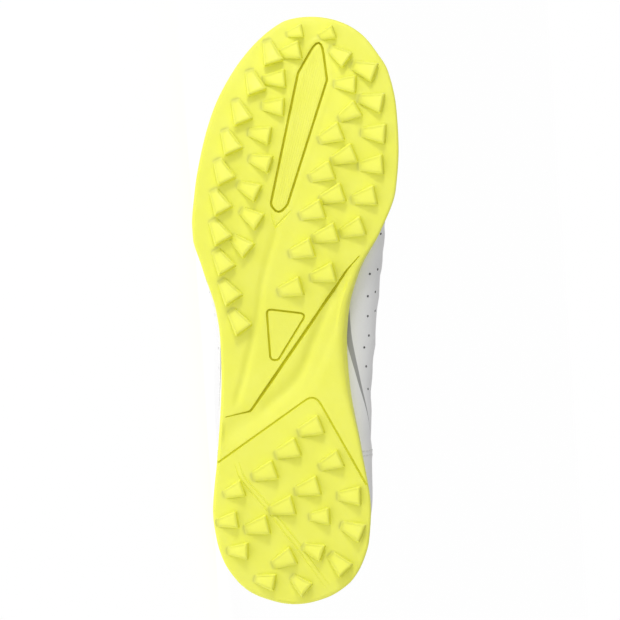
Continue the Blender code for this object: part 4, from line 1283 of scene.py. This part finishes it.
def tongue_mesh():
    sections = []
    steps = 34
    for k in range(steps + 1):
        sections.append(tongue_section(TONGUE_FRONT + (TONGUE_TOP - TONGUE_FRONT) * k / steps))
    rise_steps = 12
    widths = ((0.0, 1.0), (0.34, 1.10), (0.67, 1.27), (0.86, 1.33), (0.95, 1.20), (1.0, 0.92))
    base_top, base_low = sections[-1]
    offset = Vector()
    for k in range(1, rise_steps + 1):
        t = k / rise_steps
        lean = math.radians(70.0 - 16.0 * t)
        offset += Vector((-math.cos(lean), 0.0, math.sin(lean))) * TONGUE_RISE / rise_steps
        low_key = max(n for n in range(len(widths) - 1) if widths[n][0] <= t)
        (t0, w0), (t1, w1) = widths[low_key], widths[low_key + 1]
        widen = w0 + (w1 - w0) * (t - t0) / (t1 - t0)
        thin = 1.0 - 0.45 * fade(t, 0.82, 1.0)
        middle = sum((p.y for p in base_top), 0.0) / len(base_top)
        new_top, new_low = [], []
        for a, b in zip(base_top, base_low):
            centre = (a + b) / 2.0
            a, b = centre + (a - centre) * thin, centre + (b - centre) * thin
            new_top.append(Vector((a.x, middle + (a.y - middle) * widen, a.z)) + offset)
            new_low.append(Vector((b.x, middle + (b.y - middle) * widen, b.z)) + offset)
        sections.append((new_top, new_low))
    bm = bmesh.new()
    uv = bm.loops.layers.uv.new("cloth")
    rows, spots = [], {}
    for n, (top, low) in enumerate(sections):
        quilt = 0.0004 * max(0.0, math.cos(n * math.pi / 4.0)) ** 6
        row = []
        for k, point in enumerate(top):
            aside = abs(2.0 * k / TONGUE_ACROSS - 1.0)
            inward = (low[k] - point).normalized() * quilt * (1.0 - fade(aside, 0.6, 0.85))
            row.append(bm.verts.new(point + inward))
            spots[row[-1]] = (n * 0.0022, k * 0.0020)
        for k, point in enumerate(low[::-1]):
            row.append(bm.verts.new(point))
            spots[row[-1]] = (n * 0.0022, 0.06 + k * 0.0020)
        rows.append(row)
    skin_rows(bm, rows, True)
    half = len(rows[0]) // 2
    for row in (rows[0], rows[-1]):
        for k in range(half - 1):
            bm.faces.new((row[k], row[k + 1], row[-k - 2], row[-k - 1]))
    for face in bm.faces:
        for loop in face.loops:
            loop[uv].uv = spots[loop.vert]
    return bm


tongue = laid_piece("tongue_pad", tongue_mesh(), (TONGUE_MESH,))
smooth(tongue, 60.0)
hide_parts("tongue")
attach(tongue, "root")
print("tongue:", triangles(tongue), "triangles")

# %% [markdown]
# ## The laces
# A flat woven lace goes up through a hole, over the eyestay and the tongue, and down into the next
# hole on the other side. Each visible run is one ribbon with rounded edges that dips into the holes at
# both ends. The free ends stop inside the top holes, because the photograph doesn't show them.

# %% Build the runs of lace
LACE_WIDTH = 0.0060
LACE_THICKNESS = 0.0012
LACE_LIFT = 0.0009
RIBBON = ((-0.5, 0.0), (-0.46, 0.32), (-0.34, 0.5), (0.0, 0.46), (0.34, 0.5), (0.46, 0.32), (0.5, 0.0),
          (0.46, -0.32), (0.34, -0.5), (0.0, -0.46), (-0.34, -0.5), (-0.46, -0.32))


def lace_run(bm, uv, start, end, start_side, end_side, lift):
    steps = 30
    out = OVERLAY_STEP + LACE_LIFT + LACE_THICKNESS / 2.0
    points, ups, narrow = [], [], []
    for k in range(steps + 1):
        t = k / steps
        along = start + (end - start) * t
        reach = throat_gap(along) + HOLE_FROM_EDGE
        across = reach * (start_side + (end_side - start_side) * t)
        from_end = min(t, 1.0 - t)
        dip = 1.0 - fade(from_end, 0.0, 0.075)
        hump = lift * fade(from_end, 0.2, 0.5)
        here = instep_point(along, across, out + hump - 0.0052 * dip)
        points.append(here)
        ups.append((instep_point(along, across, out + 0.001) - instep_point(along, across, out)).normalized())
        narrow.append(1.0 - 0.42 * (1.0 - fade(from_end, 0.02, 0.16)))
    rows, run = [], 0.0
    spots = {}
    for k, (point, up) in enumerate(zip(points, ups)):
        way = (points[min(k + 1, steps)] - points[max(k - 1, 0)]).normalized()
        run += (point - points[k - 1]).length if k else 0.0
        beside = way.cross(up).normalized()
        over = beside.cross(way).normalized()
        row = []
        for n, (wide, high) in enumerate(RIBBON):
            thick = LACE_THICKNESS * (1.0 + 0.5 * (1.0 - narrow[k]))
            row.append(bm.verts.new(point + beside * wide * LACE_WIDTH * narrow[k] + over * high * thick))
            spots[row[-1]] = (run, wide * LACE_WIDTH)
        rows.append(row)
    faces = skin_rows(bm, rows, True)
    faces += [bm.faces.new(rows[0]), bm.faces.new(rows[-1])]
    for face in faces:
        for loop in face.loops:
            loop[uv].uv = spots[loop.vert]


laces_bm = bmesh.new()
lace_uv = laces_bm.loops.layers.uv.new("cloth")
holes = eyelet_places()
lace_run(laces_bm, lace_uv, holes[0], holes[0], -1.0, 1.0, 0.0)
for k in range(EYELET_PAIRS - 1):
    lace_run(laces_bm, lace_uv, holes[k], holes[k + 1], -1.0, 1.0, 0.0014)
    lace_run(laces_bm, lace_uv, holes[k], holes[k + 1], 1.0, -1.0, 0.0)
laces = laid_piece("lace_runs", laces_bm, (LACE_WEAVE,))
smooth(laces, 50.0)
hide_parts("laces")
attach(laces, "root")
print("laces:", triangles(laces), "triangles")

# %% [markdown]
# ## Stitches and pinholes
# A sewn edge is read by its stitches. One stitch is a short rounded bar, and its copies follow the
# panels' edges two millimetres inside them. Pinholes are small dark plugs that sit just proud of the
# skin, a painted shadow that stands for the dark inside of each hole. Two rows of them show on the medial side, and
# the lateral side has the same further up.

# %% Model one stitch and one pinhole
STITCH_LENGTH = 0.0021
bpy.ops.object.select_all(action="DESELECT")
bpy.ops.mesh.primitive_cylinder_add(vertices=6, radius=0.00028, depth=STITCH_LENGTH,
                                    rotation=(0.0, math.radians(90.0), 0.0))
stitch = bpy.context.object
bpy.ops.object.transform_apply(location=False, rotation=True, scale=False)
bpy.ops.object.mode_set(mode="EDIT")
bpy.ops.mesh.select_all(action="SELECT")
bpy.ops.mesh.bevel(offset=0.00012, segments=1, affect="EDGES")
bpy.ops.object.mode_set(mode="OBJECT")
first_stitch = stitch.data
bpy.ops.object.select_all(action="DESELECT")
# The pinhole is a dark plug, a painted shadow for the hole.
bpy.ops.mesh.primitive_cone_add(vertices=14, radius1=0.00072, radius2=0.00058, depth=0.0006)
pinhole = bpy.context.object
first_pinhole = pinhole.data
print("one stitch:", len(first_stitch.polygons), "faces")


# %% Sew along a path of the wall
def skin_frame(along, side, share):
    """Point on the finished skin, and the way out there."""
    out = overlay(along, side, share) - creased(along, side, share)
    here = wall_surface(along, side, share, out)
    square = (wall_surface(along, side, share, out + 0.001) - here).normalized()
    return here, square


def sew(bm, path, pitch=0.0030):
    """Copies of the stitch at an even pitch along (along, side, share) places."""
    spots = [skin_frame(*place) for place in path]
    run, wanted = 0.0, pitch / 2.0
    for (a, up_a), (b, up_b) in zip(spots, spots[1:]):
        span = (b - a).length
        while span > 1e-7 and wanted <= run + span:
            t = (wanted - run) / span
            up = up_a.lerp(up_b, t).normalized()
            way = (b - a).normalized()
            beside = up.cross(way).normalized()
            turned = Matrix((way, beside, up)).transposed().to_4x4()
            place = Matrix.Translation(a.lerp(b, t) + up * 0.00005) @ turned
            known = len(bm.verts)
            bm.from_mesh(first_stitch)
            bm.verts.ensure_lookup_table()
            bmesh.ops.transform(bm, matrix=place, verts=bm.verts[known:])
            wanted += pitch
        run += span


def where(function, target, low, high, steps=26):
    """Share at which a panel's distance reaches the target, by halving."""
    a, b = low, high
    fa = function(a) - target
    if fa * (function(b) - target) > 0.0:
        return None
    for _ in range(steps):
        m = (a + b) / 2.0
        if (function(m) - target) * fa > 0.0:
            a = m
        else:
            b = m
    return (a + b) / 2.0


stitches_bm = bmesh.new()
for inset in (0.0018, 0.0040):
    for side in (-1.0, 1.0):
        cap = []
        for k in range(41):
            share = -0.9 + 1.9 * k / 40
            along = where(lambda a: toe_cap_distance(a, share), inset, 0.80, 0.93)
            if along is not None:
                cap.append((along, side, share))
        sew(stitches_bm, cap)
        counter = []
        for k in range(60):
            along = 0.004 + 0.30 * k / 59
            share = where(lambda s: counter_distance(along, side, s), inset, 0.05, 0.9)
            if share is not None:
                counter.append((along, side, share))
        front = []
        for k in range(30):
            share = -0.85 + 1.1 * k / 29
            along = where(lambda a: counter_distance(a, side, share), inset, 0.15, 0.30)
            if along is not None and share < 0.28:
                front.append((along, side, share))
        sew(stitches_bm, counter)
        sew(stitches_bm, front)
        stay = []
        for k in range(120):
            along = 0.405 + 0.2875 * math.sin(math.pi / 2.0 * k / 119)
            share = where(lambda s: stay_distance(along, side, s), inset, 0.4, 0.999)
            if share is not None:
                stay.append((along, side, share))
        sew(stitches_bm, stay)
stitches = laid_piece("stitches", stitches_bm, (THREAD,), False)
bpy.data.objects.remove(stitch)
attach(stitches, "root")
print("stitches:", triangles(stitches), "triangles")

# %% Set the pinholes of the medial side
PINHOLES = table(
    "along across",
    (0.568, 0.368), (0.531, 0.358), (0.493, 0.358), (0.4575, 0.363), (0.435, 0.341), (0.401, 0.350),
    (0.3605, 0.360), (0.631, 0.4216), (0.5816, 0.407), (0.5425, 0.397), (0.505, 0.3946),
)
pinholes_bm = bmesh.new()
for along, across in zip(PINHOLES["along"], PINHOLES["across"]):
    share = where(lambda s: wall_point(along, 1.0, s).y, across * BALL_WIDTH, -0.98, 0.0)
    if share is None:
        share = -0.05
    for side in (1.0, -1.0):
        here, square = skin_frame(along, side, share if side > 0.0 else share + 0.45)
        way = square.to_track_quat("Z", "Y").to_matrix().to_4x4()
        known = len(pinholes_bm.verts)
        pinholes_bm.from_mesh(first_pinhole)
        pinholes_bm.verts.ensure_lookup_table()
        bmesh.ops.transform(pinholes_bm, matrix=Matrix.Translation(here - square * 0.00022) @ way,
                            verts=pinholes_bm.verts[known:])
pinholes = laid_piece("pinholes", pinholes_bm, (PINHOLE_SHADOW,), False)
bpy.data.objects.remove(pinhole)
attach(pinholes, "root")
print("pinholes:", len(PINHOLES["along"]) * 2)

# %% [markdown]
# ## Floor, light and camera
# The shoe lies on a white floor under soft light. The photograph looks straight at the sole from far
# away with the toe up, so the camera stands in front of the sole with a long lens and is rolled. Its
# left is then the floor, and the main light comes from the toe end, which is the photograph's top.

# %% Floor and backdrop
bpy.ops.object.select_all(action="DESELECT")
bpy.ops.mesh.primitive_plane_add(size=60.0, location=(0.0, 0.0, 0.0))
studio_floor = bpy.context.object
studio_floor.name = "studio_floor"
floor_white, nodes, links, shader = new_finish("floor_white", (0.24, 0.24, 0.24), 1.0, 0.0, 0.0)
shader.inputs["Emission Color"].default_value = (1.0, 1.0, 1.0, 1.0)
shader.inputs["Emission Strength"].default_value = 0.87
studio_floor.data.materials.append(floor_white)

world = bpy.data.worlds.new("studio_air")
bpy.context.scene.world = world
world.use_nodes = True
air = world.node_tree.nodes["Background"]
air.inputs["Color"].default_value = (1.0, 1.0, 1.0, 1.0)
skyward = world.node_tree.nodes.new("ShaderNodeSeparateXYZ")
compass = world.node_tree.nodes.new("ShaderNodeTexCoord")
dimmed = world.node_tree.nodes.new("ShaderNodeMapRange")
dimmed.inputs["To Min"].default_value = 0.72
dimmed.inputs["To Max"].default_value = 0.41
world.node_tree.links.new(compass.outputs["Generated"], skyward.inputs["Vector"])
world.node_tree.links.new(skyward.outputs["Z"], dimmed.inputs["Value"])
world.node_tree.links.new(dimmed.outputs["Result"], air.inputs["Strength"])
seen_air = world.node_tree.nodes.new("ShaderNodeBackground")
seen_air.inputs["Color"].default_value = (1.0, 1.0, 1.0, 1.0)
seen_air.inputs["Strength"].default_value = 1.0
ray = world.node_tree.nodes.new("ShaderNodeLightPath")
either = world.node_tree.nodes.new("ShaderNodeMixShader")
world.node_tree.links.new(ray.outputs["Is Camera Ray"], either.inputs["Fac"])
world.node_tree.links.new(air.outputs["Background"], either.inputs[1])
world.node_tree.links.new(seen_air.outputs["Background"], either.inputs[2])
world.node_tree.links.new(either.outputs["Shader"], world.node_tree.nodes["World Output"].inputs["Surface"])
bpy.context.scene.view_settings.view_transform = "Standard"


# %% Lights
def soft_light(name, place, target, size, power):
    lamp = bpy.data.lights.new(name, "AREA")
    lamp.shape = "DISK"
    lamp.size = size
    lamp.energy = power
    light = bpy.data.objects.new(name, lamp)
    bpy.context.scene.collection.objects.link(light)
    light.location = place
    light.rotation_euler = (Vector(target) - Vector(place)).to_track_quat("-Z", "Y").to_euler()
    return light


soft_light("light_at_the_toe", (-1.30, -1.10, 0.16), (0.0, -0.03, 0.05), 0.35, 7.1)
print("lights are set")

# %% Camera square to the sole
FRAME_WIDTH = 0.3024
CAMERA_DISTANCE = 2.5
lens_data = bpy.data.cameras.new("sole_camera")
lens_data.sensor_width = 36.0
lens_data.lens = 36.0 * CAMERA_DISTANCE / FRAME_WIDTH
lens_data.clip_end = 80.0
camera = bpy.data.objects.new("sole_camera", lens_data)
bpy.context.scene.collection.objects.link(camera)
seen_middle = Vector((0.1440, 0.00735, 0.0))
toe_up, medial_right, towards_eye = Vector((1, 0, 0)), Vector((0, 1, 0)), Vector((0, 0, -1))
local = Matrix((medial_right, toe_up, towards_eye)).transposed().to_4x4()
local.translation = seen_middle + towards_eye * CAMERA_DISTANCE
camera.matrix_world = LAID @ local
bpy.context.scene.camera = camera
print("camera height", round(camera.matrix_world.translation.z, 3))
